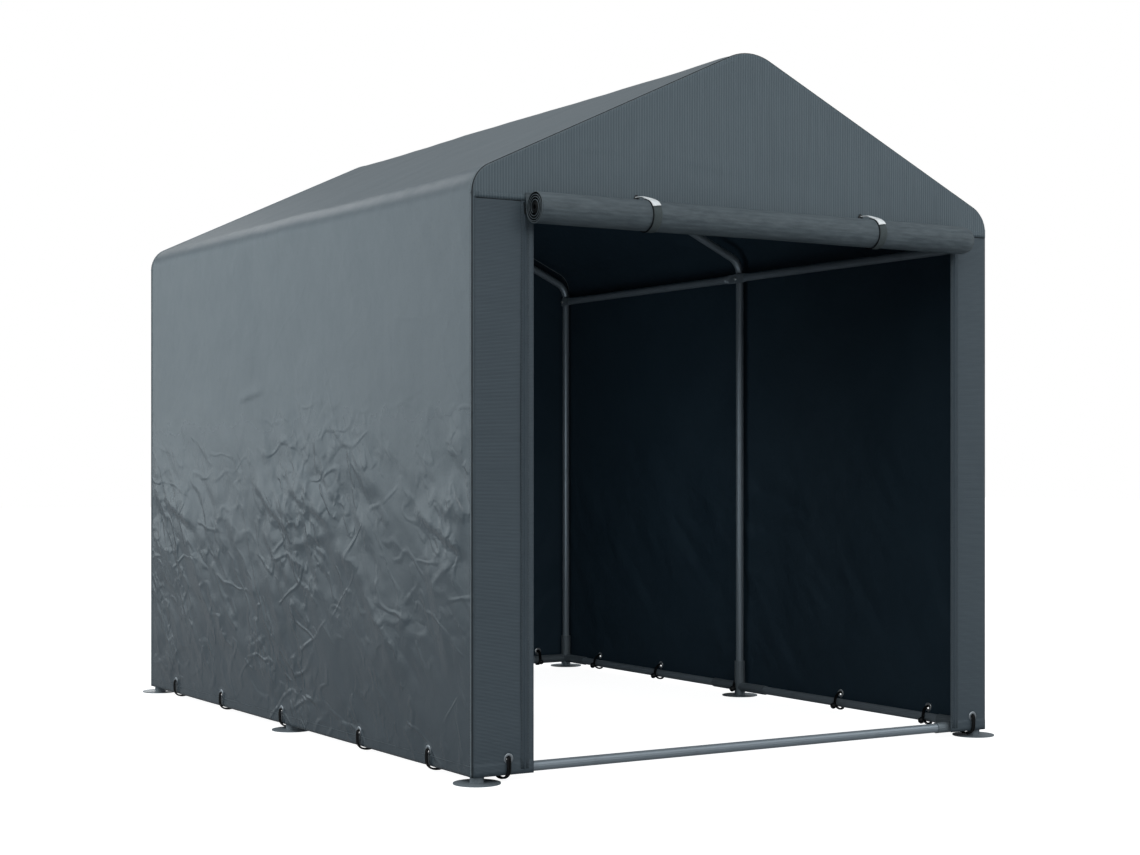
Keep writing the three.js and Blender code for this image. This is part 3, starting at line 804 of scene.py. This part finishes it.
def make_jamb(side, sign):
    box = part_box(f"{side}_jamb")
    inner = box[1].x if sign < 0 else box[0].x
    outer = sign * CORNER_X
    low, high = min(inner, outer), max(inner, outer)

    def place(x, z):
        from_edge = np.abs(x - inner)
        out = fade(from_edge, 0, 0.06) * fade(np.abs(x - outer), 0, 0.05) * fade(z - HEM_Z, 0, 0.1)
        out = out * (swell(x * 5, z * 2.2, 71 + sign) * 0.002 + facets(x / 0.12, z / 0.28, 73 + sign) * 0.0012)
        band = np.where(z < HEM_Z + HEM_BAND, 0.0009, np.where(from_edge < JAMB_HEM, 0.0004, 0))
        return x, FRONT_FACE - out - band, z

    edge = [inner + sign * d for d in (JAMB_HEM - 0.0006, JAMB_HEM + 0.0006)]
    x = stations(low, high, GRID, *edge)
    z = stations(HEM_Z, SEAM_Z + 0.003, 0.0125, HEM_Z + HEM_BAND - 0.0006, HEM_Z + HEM_BAND + 0.0006)
    holes = [(JAMB_HOLE_X[side], HEM_ROW)]
    name = f"{side}_jamb_sheet"
    sheet, centres = grid_piece(name, x, z, place, jamb_outside, sheet_inside, holes=holes, flip=True)
    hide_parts(f"{side}_jamb")
    jamb_sheets[side], jamb_centres[side] = thicken(sheet, SHEET_T, inner=1), centres
    return inner


JAMB_EDGE = {side: make_jamb(side, sign) for side, sign in (("left", -1), ("right", 1))}

# %% [markdown]
# ## Piping, seams and zips
# Where the cover meets an end sheet, a pale cord is sewn in just behind the corner. The shade in the seam beside it
# is painted as a thin black bead, a painted shadow line. Both run down each corner and up each rake. Rows of
# stitches run beside them, and along the hems. The door closes with a zip on each side: a tape, a coil on it and a
# slider.


# %% Piping and its stitches
def rake(depth, y, start=0.0):
    """A path along the section, at a depth inside the cover."""
    s = GIRTH[(GIRTH >= start) & (GIRTH <= GIRTH[-1] - start)]
    x = along_section(s, 0) - depth * along_section(s, 2)
    z = along_section(s, 1) - depth * along_section(s, 3)
    return np.stack([x, np.full_like(s, y), z], axis=-1)


PIPING_IN, PIPING_R = 0.0092, 0.0021
GAP_IN, GAP_R = 0.0040, 0.0022
for place, y, inward in (("front", FRONT_Y, 1), ("rear", REAR_Y, -1)):
    cord_y = y + inward * PIPING_IN
    parts = [rod(rake(0.0004, cord_y), PIPING_R, (0, 1, 0))]
    for side in (-1, 1):
        tip = [(side * (HALF_WIDTH + d), cord_y, SEAM_Z + h) for d, h in ((-0.003, 0.011), (0.0035, 0.009))]
        parts.append(rod(tip, PIPING_R, (0, 1, 0)))
    piping = new_piece(f"{place}_piping", *joined(parts), piping_cord)
    # Painted shadow: a thin black bead stands for the shade in the seam beside the piping.
    gap_line = rod(rake(0.0006, y + inward * GAP_IN), GAP_R, (0, 1, 0))
    gap_shade = new_piece(f"{place}_seam_shadow_line", *gap_line, painted_shadow_black)
    seam = new_piece(f"{place}_seam_stitches", *stitches(rake(0.0, y + inward * 0.0150), (0, 1, 0)), thread)

# %% Stitches of the hem
HEM_SEAM = 0.028
rows = []
for s in (HEM_SEAM, GIRTH[-1] - HEM_SEAM):
    v = stations(EDGE + 0.004, LENGTH - EDGE - 0.004, 0.02)
    rows.append(stitches(np.stack(cover_place(np.full_like(v, s), v), axis=-1), (1, 0, 0)))
x = stations(-CORNER_X + 0.008, CORNER_X - 0.008, 0.02)
rows.append(stitches(np.stack(rear_place(x, np.full_like(x, HEM_Z + HEM_SEAM)), axis=-1), (0, 1, 0)))
hem_stitches = new_piece("hem_stitches", *joined(rows), thread)

# %% Seam under the gable
seam_x = CORNER_X - 0.004
hem_line = [(x, GABLE_FACE - 0.0010, SEAM_Z + 0.0075) for x in stations(-seam_x, seam_x, 0.05)]
gable_stitches = new_piece("gable_stitches", *stitches(hem_line, (0, 1, 0)), thread)


def flat_strip(name, x0, x1, z0, z1, y, depth, finish):
    """A thin band of sheet with softened edges, standing a little in front of a panel."""
    rim = min(0.0012, (z1 - z0) / 4, (x1 - x0) / 4)
    u = stations(x0, x1, max(0.02, (x1 - x0) / 60), x0 + rim, x1 - rim)
    v = stations(z0, z1, max(0.02, (z1 - z0) / 60), z0 + rim, z1 - rim)

    def place(x, z):
        inside = np.minimum(np.minimum(x - x0, x1 - x), np.minimum(z - z0, z1 - z))
        return x, y - depth * np.clip(inside / rim, 0, 1), z

    strip, _ = grid_piece(name, u, v, place, finish)
    return thicken(strip, 0.0005)


# Painted shadow: a thin black strip below the gable's hem, where its edge shades the jambs.
flat_strip("gable_hem_shadow", -seam_x, seam_x, SEAM_Z - 0.0068, SEAM_Z - 0.0042,
           FRONT_FACE - 0.0004, 0.0005, painted_shadow_black)
gable_hem = flat_strip("gable_hem", -seam_x, seam_x, SEAM_Z - 0.004, SEAM_Z + 0.012,
                       GABLE_FACE, 0.0009, gable_outside)

# %% Zips
ZIP_X = {"left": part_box("door_curtain")[0].x, "right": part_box("door_curtain")[1].x}
ZIP_LOW = HEM_Z + 0.012
ZIP_HIGH = SEAM_Z - 0.004
for side, x in ZIP_X.items():
    tape_y = FRONT_FACE - 0.0016
    flat_strip(f"{side}_zip_tape", x - 0.013, x + 0.013, ZIP_LOW, ZIP_HIGH, tape_y + 0.0008, 0.0008, zip_tape)
    z = stations(ZIP_LOW, ZIP_HIGH, 0.0018)
    chain = rod([(x, tape_y - 0.0006, h) for h in z], 0.0021, (1, 0, 0), sides=8)
    swing = np.where(np.arange(len(z)) % 2 == 0, 1.0, 0.72)
    points = chain[0].reshape(len(z), 8, 3)
    middle = points.mean(axis=1, keepdims=True)
    points = middle + (points - middle) * swing[:, None, None]
    coil = new_piece(f"{side}_zip_coil", points, chain[1], zip_tape, smooth=False)
    rows = [[(x + d, tape_y - 0.0004, h) for h in z[::12]] for d in (-0.0095, 0.0095)]
    sewn = new_piece(f"{side}_zip_stitches", *joined([stitches(row, (1, 0, 0)) for row in rows]), thread)


# %% Zip sliders
def plate(outline, y, thickness, hole=None):
    """An outline in the XZ plane as a plate; a hole is a second outline with as many points."""
    outline = np.asarray(outline, float)
    count, parts = len(outline), []
    rings = [outline] if hole is None else [outline, np.asarray(hole, float)]
    points = [[(p[0], y + d, p[1]) for p in ring] for d in (0, -thickness) for ring in rings]
    points = np.array(points).reshape(-1, 3)
    back, front = 0, len(rings) * count
    if hole is None:
        parts.append(list(range(back + count))[::-1])
        parts.append(list(range(front, front + count)))
    for k in range(count):
        n = (k + 1) % count
        parts.append([back + k, back + n, front + n, front + k])
        if hole is not None:
            h = count
            parts.append([back + h + n, back + h + k, front + h + k, front + h + n])
            parts.append([back + n, back + k, back + h + k, back + h + n])
            parts.append([front + k, front + n, front + h + n, front + h + k])
    return points, parts


def oval(cx, cz, rx, rz, power=2.6, count=24):
    turn = np.arange(count) * 2 * math.pi / count
    c, s = np.cos(turn), np.sin(turn)
    return np.stack([cx + rx * np.sign(c) * np.abs(c) ** (2 / power),
                     cz + rz * np.sign(s) * np.abs(s) ** (2 / power)], axis=-1)


def make_slider(side):
    low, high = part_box(f"{side}_zip_slider")
    x, top, bottom = (low.x + high.x) / 2, high.z, low.z
    back = high.y
    body = oval(x, top - 0.0085, 0.0055, 0.0085, 3.2)
    body[:, 0] = x + (body[:, 0] - x) * (0.72 + 0.28 * (body[:, 1] - top + 0.017) / 0.017)
    wing = plate(body, back, 0.0014)
    cap = plate(body, back - 0.0026, 0.0014)
    bridge = rod([(x, back - 0.0008 - 0.0036 * math.sin(a), top - 0.0085 + 0.0055 * math.cos(a))
                  for a in np.linspace(0, math.pi, 9)], 0.0012, (1, 0, 0))
    pull = plate(oval(x, bottom + 0.0125, 0.0035, 0.0125, 4), low.y + 0.0016, 0.0013,
                 oval(x, bottom + 0.0205, 0.0018, 0.0028))
    slider = new_piece(f"{side}_slider", *joined([wing, cap, bridge, pull]), zip_metal, smooth=False,
                       body=f"zip_{side}")
    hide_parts(f"{side}_zip_slider")


for side in ZIP_X:
    make_slider(side)

# %% [markdown]
# ## The rolled door
# The door is a sheet as wide as the doorway and wound up from its bottom edge. Seen from its end it is a spiral:
# loose outer turns, kept apart by the zip tape along its edges, around a tight core. It could be a solid bar, but
# the end would be blank, so a winding is made, with fewer turns than the whole door needs, so that they can be told
# apart.

# %% Sizes of the roll
roll_low, roll_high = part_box("door_roll")
ROLL_X0, ROLL_X1 = roll_low.x, roll_high.x
ROLL_R = (roll_high.z - roll_low.z) / 2
ROLL_Y = (roll_low.y + roll_high.y) / 2
ROLL_Z = (roll_low.z + roll_high.z) / 2
LOOSE_PITCH, LOOSE_TURNS = 0.0077, 4.2
TIGHT_PITCH, TIGHT_TURNS = 0.0018, 5.2


def winding():
    """Angle and radius along the door sheet, from where it leaves the roll to its bottom edge."""
    loose = np.arange(0, LOOSE_TURNS * 360 + 1, 7.5)
    tight = np.arange(15, TIGHT_TURNS * 360 + 1, 15) + loose[-1]
    turn = np.radians(np.concatenate([loose, tight]))
    snug = np.clip(turn - 1.4 * math.pi, 0, turn[len(loose) - 1] - 1.4 * math.pi)
    radius = ROLL_R + 0.0012 - LOOSE_PITCH * snug / (2 * math.pi)
    radius -= TIGHT_PITCH * np.maximum(turn - turn[len(loose) - 1], 0) / (2 * math.pi)
    return turn + math.pi, radius


TURN, RADIUS = winding()


def roll_place(x, v):
    turn = np.interp(v, np.arange(len(TURN)), TURN)
    radius = np.interp(v, np.arange(len(TURN)), RADIUS)
    outer = fade(radius, ROLL_R - 0.014, ROLL_R - 0.004)
    worn = swell(x * 3.2, turn * 0.5, 81) * 0.0011 + facets(x / 0.35, turn / 0.5, 82) * 0.0007
    right = np.clip((x - ROLL_X1 + 0.030) / 0.030, 0, 1)
    left = np.clip((ROLL_X0 + 0.006 - x) / 0.006, 0, 1)
    rounded = 0.009 * (1 - np.sqrt(1 - right ** 2)) + left * 0.0008
    radius = radius + outer * (worn - 0.0008 - rounded)
    return x, ROLL_Y - radius * np.cos(turn), ROLL_Z + 0.0015 + radius * np.sin(turn)


# %% Make the roll and the curtain above it
roll_x = stations(ROLL_X0, ROLL_X1, 0.03, ROLL_X0 + 0.0007, ROLL_X0 + 0.006,
                  *[ROLL_X1 - d for d in (0.0007, 0.004, 0.008, 0.014, 0.021)])
rolled_door, _ = grid_piece("rolled_door", roll_x, np.arange(len(TURN)), roll_place, door_outside, roll_inside_shade,
                            body="door_roll", flip=True)
# The turns inside the outer one are marked for painted shade, near black in the door's finish.
wound_shade = (0 * roll_x[:, None] + TURN[None, :]) > TURN[0] + 2 * math.pi
shade = rolled_door.data.attributes.new("wound_shade", "FLOAT", "POINT")
shade.data.foreach_set("value", wound_shade.astype(np.float32).ravel())
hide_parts("door_roll")
thicken(rolled_door, 0.0017, inner=1)
loose_ends = np.arange(int(LOOSE_TURNS * 48))
parts = []
for x in (ROLL_X0 + 0.0009, ROLL_X1 - 0.0009):
    edge_line = np.stack(roll_place(np.full(len(loose_ends), x), loose_ends), axis=-1)
    parts.append(rod(edge_line[::2], 0.0013, (1, 0, 0), sides=6))
door_edges = new_piece("door_edge_zips", *joined(parts), thread, body="door_roll")
CURTAIN_Y = ROLL_Y + ROLL_R - 0.0006
CURTAIN_TOP = SEAM_Z + 0.017


def curtain_place(x, z):
    """From the gable's hem out to the back of the roll."""
    leaning = fade(-z, -CURTAIN_TOP, -ROLL_Z - 0.006)
    return x, GABLE_FACE - 0.0032 + (CURTAIN_Y - GABLE_FACE + 0.0032) * leaning, z


curtain_z = stations(ROLL_Z, CURTAIN_TOP, 0.0006)
curtain_x = stations(ROLL_X0, ROLL_X1, 0.05)
door_curtain_sheet, _ = grid_piece("door_curtain_sheet", curtain_x, curtain_z, curtain_place, door_outside)
door_curtain_sheet.parent = None
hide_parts("door_curtain")
thicken(door_curtain_sheet, 0.0011)

# %% [markdown]
# ## Straps, toggles and loops
# Two webbing straps hang from the gable seam, pass behind and under the roll and come up over its front. A white
# toggle on the end of each one goes through a black triangular loop.

# %% Straps
STRAP_X = {}
for side in ZIP_X:
    low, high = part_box(f"{side}_roll_strap")
    STRAP_X[side] = (low.x + high.x) / 2
STRAP_W = 0.028
STRAP_R = ROLL_R + 0.0022
STRAP_END = math.radians(100)
TOGGLE_BACK, TOGGLE_WAIST, TOGGLE_FRONT = math.radians(114), math.radians(100), math.radians(35)
TOGGLE_FULL, TOGGLE_LIFT, TOGGLE_SHIFT = math.radians(70), 0.010, 0.026
TOGGLE_T, STEM_HALF = 0.0024, 0.0060
hang = stations(0, SEAM_Z - ROLL_Z, 0.004)[::-1]
strap_turn = np.linspace(-math.pi, STRAP_END, 72)
strap_yz = np.concatenate([
    np.stack([np.full_like(hang, ROLL_Y + STRAP_R), ROLL_Z + hang], axis=-1)[:-1],
    np.stack([ROLL_Y - STRAP_R * np.cos(strap_turn), ROLL_Z + STRAP_R * np.sin(strap_turn)], axis=-1)])
strap_run = np.concatenate([[0], np.cumsum(np.hypot(*np.diff(strap_yz, axis=0).T))])
print("strap length", round(strap_run[-1], 3))


def flatten(piece):
    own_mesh(piece)


def make_strap(side):
    centre = STRAP_X[side]

    def place(u, s):
        y, z = np.interp(s, strap_run, strap_yz[:, 0]), np.interp(s, strap_run, strap_yz[:, 1])
        sway = 0.0012 * swell(s * 9, 0 * s, 91)
        edge = 0.0005 * np.abs(u / (STRAP_W / 2)) ** 4
        turn = np.arctan2(z - ROLL_Z, ROLL_Y - y)
        return centre + u + sway, y + edge * np.cos(turn), z - edge * np.sin(turn)

    u = stations(-STRAP_W / 2, STRAP_W / 2, 0.0035)
    strap, _ = grid_piece(f"{side}_strap", u, strap_run, place, strap_web, flip=True)
    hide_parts(f"{side}_roll_strap")
    # Painted shadow: a black rod along the strap's left edge stands for the shadow it casts on the roll.
    shade_path = [(centre - STRAP_W / 2 - 0.0006, y, z) for y, z in strap_yz[len(hang) + 8::2]]
    edge_shade = new_piece(f"{side}_strap_edge_shadow", *rod(shade_path, 0.0016, (1, 0, 0)), painted_shadow_black)
    flatten(edge_shade)
    return strap


straps = {side: make_strap(side) for side in STRAP_X}


# %% Toggles
def make_toggle(side):
    centre = STRAP_X[side]

    def place(u, v):
        turn = TOGGLE_BACK + (TOGGLE_FRONT + math.radians(3) * (u - 0.5) - TOGGLE_BACK) * v
        tongue = fade(-turn, -TOGGLE_WAIST, -TOGGLE_WAIST + math.radians(20))
        half = STEM_HALF + (STRAP_W / 2 - STEM_HALF) * tongue
        back = np.clip((turn - TOGGLE_FULL) / (TOGGLE_BACK - TOGGLE_FULL), 0, 1)
        shift = -TOGGLE_SHIFT * back
        rise = 0.0005 + 0.0008 * (1 - u ** 2) + 0.0016 * (1 - tongue)
        radius = STRAP_R + TOGGLE_T + rise + TOGGLE_LIFT * back
        return centre + shift + half * u, ROLL_Y - radius * np.cos(turn), ROLL_Z + radius * np.sin(turn)

    u, v = np.linspace(-1, 1, 11), np.linspace(0, 1, 45)
    toggle, _ = grid_piece(f"{side}_toggle", u, v, place, white_plastic)
    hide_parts(f"{side}_strap_toggle")
    return toggle


toggles = {side: make_toggle(side) for side in STRAP_X}


# %% Triangular loops
def rounded_corners(corners, radius, steps=5):
    """A closed path with its corners cut round."""
    corners, path = np.asarray(corners, float), []
    for k, corner in enumerate(corners):
        before, after = corners[k - 1], corners[(k + 1) % len(corners)]
        start = corner + (before - corner) / np.linalg.norm(before - corner) * radius
        end = corner + (after - corner) / np.linalg.norm(after - corner) * radius
        for t in np.linspace(0, 1, steps):
            path.append((1 - t) ** 2 * start + 2 * t * (1 - t) * corner + t ** 2 * end)
    return path


LOOP_TALL = 0.035


def make_loop(side):
    low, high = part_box(f"{side}_strap_loop")
    y, x = (low.y + high.y) / 2 - 0.0006, (low.x + high.x) / 2
    corners = [(low.x - 0.002, y, low.z + 0.0015), (x + 0.004, y, low.z + LOOP_TALL),
               (high.x + 0.008, y, low.z + 0.0015)]
    ring = rod(rounded_corners(corners, 0.004), 0.0034, (0, 1, 0), closed=True)
    holder = plate(oval(x, low.z - 0.0005, 0.0075, 0.0032, 4), y + 0.0012, 0.0024)
    loop = new_piece(f"{side}_loop", *joined([ring, holder]), black_plastic)
    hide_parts(f"{side}_strap_loop")


for side in STRAP_X:
    make_loop(side)

# %% [markdown]
# ## Grommets and elastic loops
# Two-part metal eyelets are pressed into the hem, about half a metre apart. A loop of elastic cord goes through
# each, down over the outside, under the bottom rail, and is held on the inside by a ball. The loops keep the cover
# tight, so each one is a closed pair of strands around the rail that it holds.

# %% Where they sit
GROMMET_R, GROMMET_BORE = 0.0150, 0.0060
ELASTIC_R = 0.0031
BALL_R = 0.0105
RAIL_Z = (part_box("front_bottom_rail")[0].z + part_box("front_bottom_rail")[1].z) / 2
RAIL_IN = HALF_WIDTH - LEG_X
SOCKET_OUT = 0.0168
hem_points = []
for s, v in cover_holes:
    x, y, z = cover_place(np.array(s), np.array(v))
    hem_points.append((np.array([x, y, z], float), (-1.0 if x < 0 else 1.0, 0.0)))
for x, z in rear_centres:
    hem_points.append((np.array([x, REAR_FACE, z]), (0.0, 1.0)))
for side in jamb_centres:
    for x, z in jamb_centres[side]:
        hem_points.append((np.array([x, FRONT_FACE, z]), (0.0, -1.0)))
print("grommets", len(hem_points))


# %% Grommets
def eyelet(centre, out, face):
    """Half of a grommet: the outer flange, or the washer that it is pressed on inside."""
    lip = 0.0014
    half = [(GROMMET_BORE, 0), (GROMMET_BORE + 0.0007, lip), (GROMMET_BORE + 0.0024, lip + 0.0007),
            (GROMMET_R - 0.0022, lip + 0.0002), (GROMMET_R - 0.0004, lip * 0.55), (GROMMET_R, 0)]
    return turned(half, centre, (face * out[0], face * out[1], 0.0), sides=28)


for name, face, finish in (("hem_grommets", 1, dull_metal), ("hem_washers", -1, plated)):
    new_piece(name, *joined([eyelet(*place, face) for place in hem_points]), finish)


# %% Elastic loops
def smooth_loop(corners, count):
    """A closed curve through given points, by a periodic cubic between them."""
    corners = np.asarray(corners, float)
    path = []
    for k in range(len(corners)):
        a, b, c, d = (corners[(k + m) % len(corners)] for m in (-1, 0, 1, 2))
        for t in np.arange(count) / count:
            path.append(0.5 * (2 * b + (c - a) * t + (2 * a - 5 * b + 4 * c - d) * t ** 2
                               + (3 * b - a - 3 * c + d) * t ** 3))
    return np.array(path)


def elastic_loop(centre, out, rail_in):
    """Two strands: out through the eyelet, down the outside, under the rail, up the inside past the ball."""
    side = np.array([-out[1], out[0], 0.0])
    outward, up = np.array([*out, 0.0]), np.array([0.0, 0.0, 1.0])
    slant = np.array([0.0, -1.0, 0.0]) if out[0] else np.array([-0.6, 0.0, 0.0])
    eye_z, rail_z = centre[2], RAIL_Z
    route = [(0.0005, eye_z + 0.0028), (0.0062, eye_z - 0.001), (0.0072, eye_z - 0.022),
             (0.0055, HEM_Z + 0.003), (-0.004, rail_z - SOCKET_OUT - 0.0036),
             (-rail_in, rail_z - SOCKET_OUT - 0.0034),
             (-rail_in - SOCKET_OUT - 0.0030, rail_z - 0.006),
             (-rail_in - SOCKET_OUT - 0.0020, rail_z + 0.009),
             (-rail_in - 0.004, rail_z + SOCKET_OUT + 0.0045), (-0.010, eye_z + 0.002)]
    base = np.array([centre[0], centre[1], 0.0])
    drift = [0.002, 0.003, 0.003, 0.006, 0.016, 0.024, 0.028, 0.026, 0.014, 0.003]
    corners = [base + outward * a + up * z + slant * d for (a, z), d in zip(route, drift)]
    path = smooth_loop(corners, 5)
    ball_in = rail_in + SOCKET_OUT + BALL_R + 0.001
    ball_at = base - outward * ball_in + up * (rail_z - 0.008) + slant * 0.028
    half = [(BALL_R * math.sin(a), BALL_R * math.cos(a)) for a in np.linspace(0.22, math.pi - 0.22, 11)]
    ball = turned(half, ball_at, outward, sides=20)
    length = float(np.linalg.norm(np.diff(np.vstack([path, path[:1]]), axis=0), axis=1).sum())
    strands = [rod(path + side * d, ELASTIC_R, side, closed=True) for d in (-ELASTIC_R, ELASTIC_R)]
    return joined(strands), ball, length


loops, balls, lengths = [], [], []
rear_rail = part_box("rear_bottom_rail")
END_RAIL_IN = REAR_Y - (rear_rail[0].y + rear_rail[1].y) / 2
for centre, out in hem_points:
    rail_in = RAIL_IN if out[0] else END_RAIL_IN
    loop, ball, length = elastic_loop(centre, out, rail_in)
    loops.append(loop)
    balls.append(ball)
    lengths.append(length)
cords = new_piece("elastic_loops", *joined(loops), elastic)
ball_ends = new_piece("elastic_balls", *joined(balls), black_plastic)
print("elastic loops", len(lengths), "each about", round(sum(lengths) / len(lengths), 3), "m round")

# %% [markdown]
# ## Purlins, bolts and tubes
# The eave purlins are round tubes whose ends are pressed flat and bolted to the legs. A tube and a block joined
# together would show a step, so each one is drawn as one skin that goes from flat to round. The other tubes keep
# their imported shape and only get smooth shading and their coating.

# %% Eave purlins
TUBE_R = 0.014
TAB_T = 0.003
LAP = TAB_T + 0.0003
FLAT_END, ROUND_FROM = 0.050, 0.086


def make_purlin(name):
    low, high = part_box(name)
    sign = 1 if low.x > 0 else -1
    length = high.y - low.y
    axis_z = (low.z + high.z) / 2
    inner = low.x if sign > 0 else -high.x
    lapped = name.startswith("front")
    axis_x = inner + TUBE_R

    def place(turn, y):
        near = np.minimum(y, length - y)
        roundness = fade(near, FLAT_END, ROUND_FROM)
        half_x = TAB_T / 2 + (TUBE_R - TAB_T / 2) * roundness
        half_z = TUBE_R + 0.0025 * (1 - roundness)
        step = (1 - roundness) * np.where(lapped & (y < length / 2), LAP, 0.0)
        x = axis_x + step + half_x * np.cos(turn)
        return sign * x, low.y + y, axis_z + half_z * np.sin(turn)

    turn = np.linspace(0, 2 * math.pi, 25)
    near_end = np.linspace(0.004, ROUND_FROM, 12)
    y = stations(0, length, 0.12, *near_end, *(length - near_end))
    purlin, _ = grid_piece(f"{name}_tube", turn, y, place, tube_steel, flip=sign < 0)
    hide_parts(name)
    thicken(purlin, 0.0012)


for place in ("front", "rear"):
    for side in ("left", "right"):
        make_purlin(f"{place}_{side}_eave_purlin")

# %% Bolts through the tabs
BOLT_R = 0.0065
bolts = []
for place in ("front", "middle", "rear"):
    for side, sign in (("left", -1), ("right", 1)):
        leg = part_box(f"{place}_{side}_leg")
        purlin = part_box(f"{'rear' if place == 'rear' else 'front'}_{side}_eave_purlin")
        tabs = 2 if place == "middle" else 1
        face = LEG_X - TUBE_R - 0.0003 - LAP * tabs
        centre = np.array([sign * face, (leg[0].y + leg[1].y) / 2, (purlin[0].z + purlin[1].z) / 2])
        dome = [(0.0004, 0.0042), (0.003, 0.0039), (0.0052, 0.0028), (BOLT_R, 0.0008), (BOLT_R, 0.0), (0.0004, 0.0)]
        bolts.append(turned(dome, centre, (-sign, 0.0, 0.0), sides=18))
bolt_heads = new_piece("purlin_bolts", *joined(bolts), plated)

# %% Coat the tubes and feet
for name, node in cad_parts.items():
    if node.hide_render:
        continue
    finish = foot_steel if name.endswith("foot") else tube_steel
    node.data.materials.clear()
    node.data.materials.append(finish)
    node.data.polygons.foreach_set("use_smooth", [True] * len(node.data.polygons))
    node.data.set_sharp_from_angle(angle=math.radians(35))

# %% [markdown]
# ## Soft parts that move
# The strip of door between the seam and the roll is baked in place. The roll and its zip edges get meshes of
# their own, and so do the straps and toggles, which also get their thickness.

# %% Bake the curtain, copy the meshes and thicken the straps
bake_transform(door_curtain_sheet)
for piece in (rolled_door, door_edges):
    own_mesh(piece)
for side in STRAP_X:
    thicken(straps[side], 0.0013)
    thicken(toggles[side], TOGGLE_T)
    flatten(straps[side])
    flatten(toggles[side])

# %% Floor
floor_mesh = bpy.data.meshes.new("floor")
FAR = 30.0
corners = [(-FAR, -FAR, 0), (FAR, -FAR, 0), (FAR, FAR, 0), (-FAR, FAR, 0)]
floor_mesh.from_pydata(corners, [], [(0, 1, 2, 3)])
floor = bpy.data.objects.new("floor", floor_mesh)
bpy.context.scene.collection.objects.link(floor)
pale = Finish("studio_floor", Specular_IOR_Level=0.1)
pale_tone = pale.mix((0.31, 0.32, 0.33, 1), (0.33, 0.34, 0.35, 1), pale.noise(0.8, 2.0))
pale.feed(Base_Color=pale_tone, Roughness=pale.noise(2.0, 2.0) * 0.1 + 0.8)
glow = pale.node("ShaderNodeEmission", None, {"Color": (1, 1, 1, 1), "Strength": 0.95})
lit = pale.node("ShaderNodeAddShader", None, {0: glow, 1: Value(pale, pale.shader.outputs[0])})
looked_at = pale.node("ShaderNodeLightPath", output="Is Camera Ray")
surface = pale.node("ShaderNodeMixShader", None, {0: looked_at, 1: Value(pale, pale.shader.outputs[0]), 2: lit})
pale.tree.links.new(surface.socket, pale.tree.nodes["Material Output"].inputs["Surface"])
floor_mesh.materials.append(pale.material)

# %% [markdown]
# ## The tops of the frame
# The ridge purlins and the six elbows are listed by name.

frame_tops = ["front_ridge_purlin", "rear_ridge_purlin"]
frame_tops += [f"{place}_{side}_elbow" for place in ("front", "middle", "rear") for side in ("left", "right")]
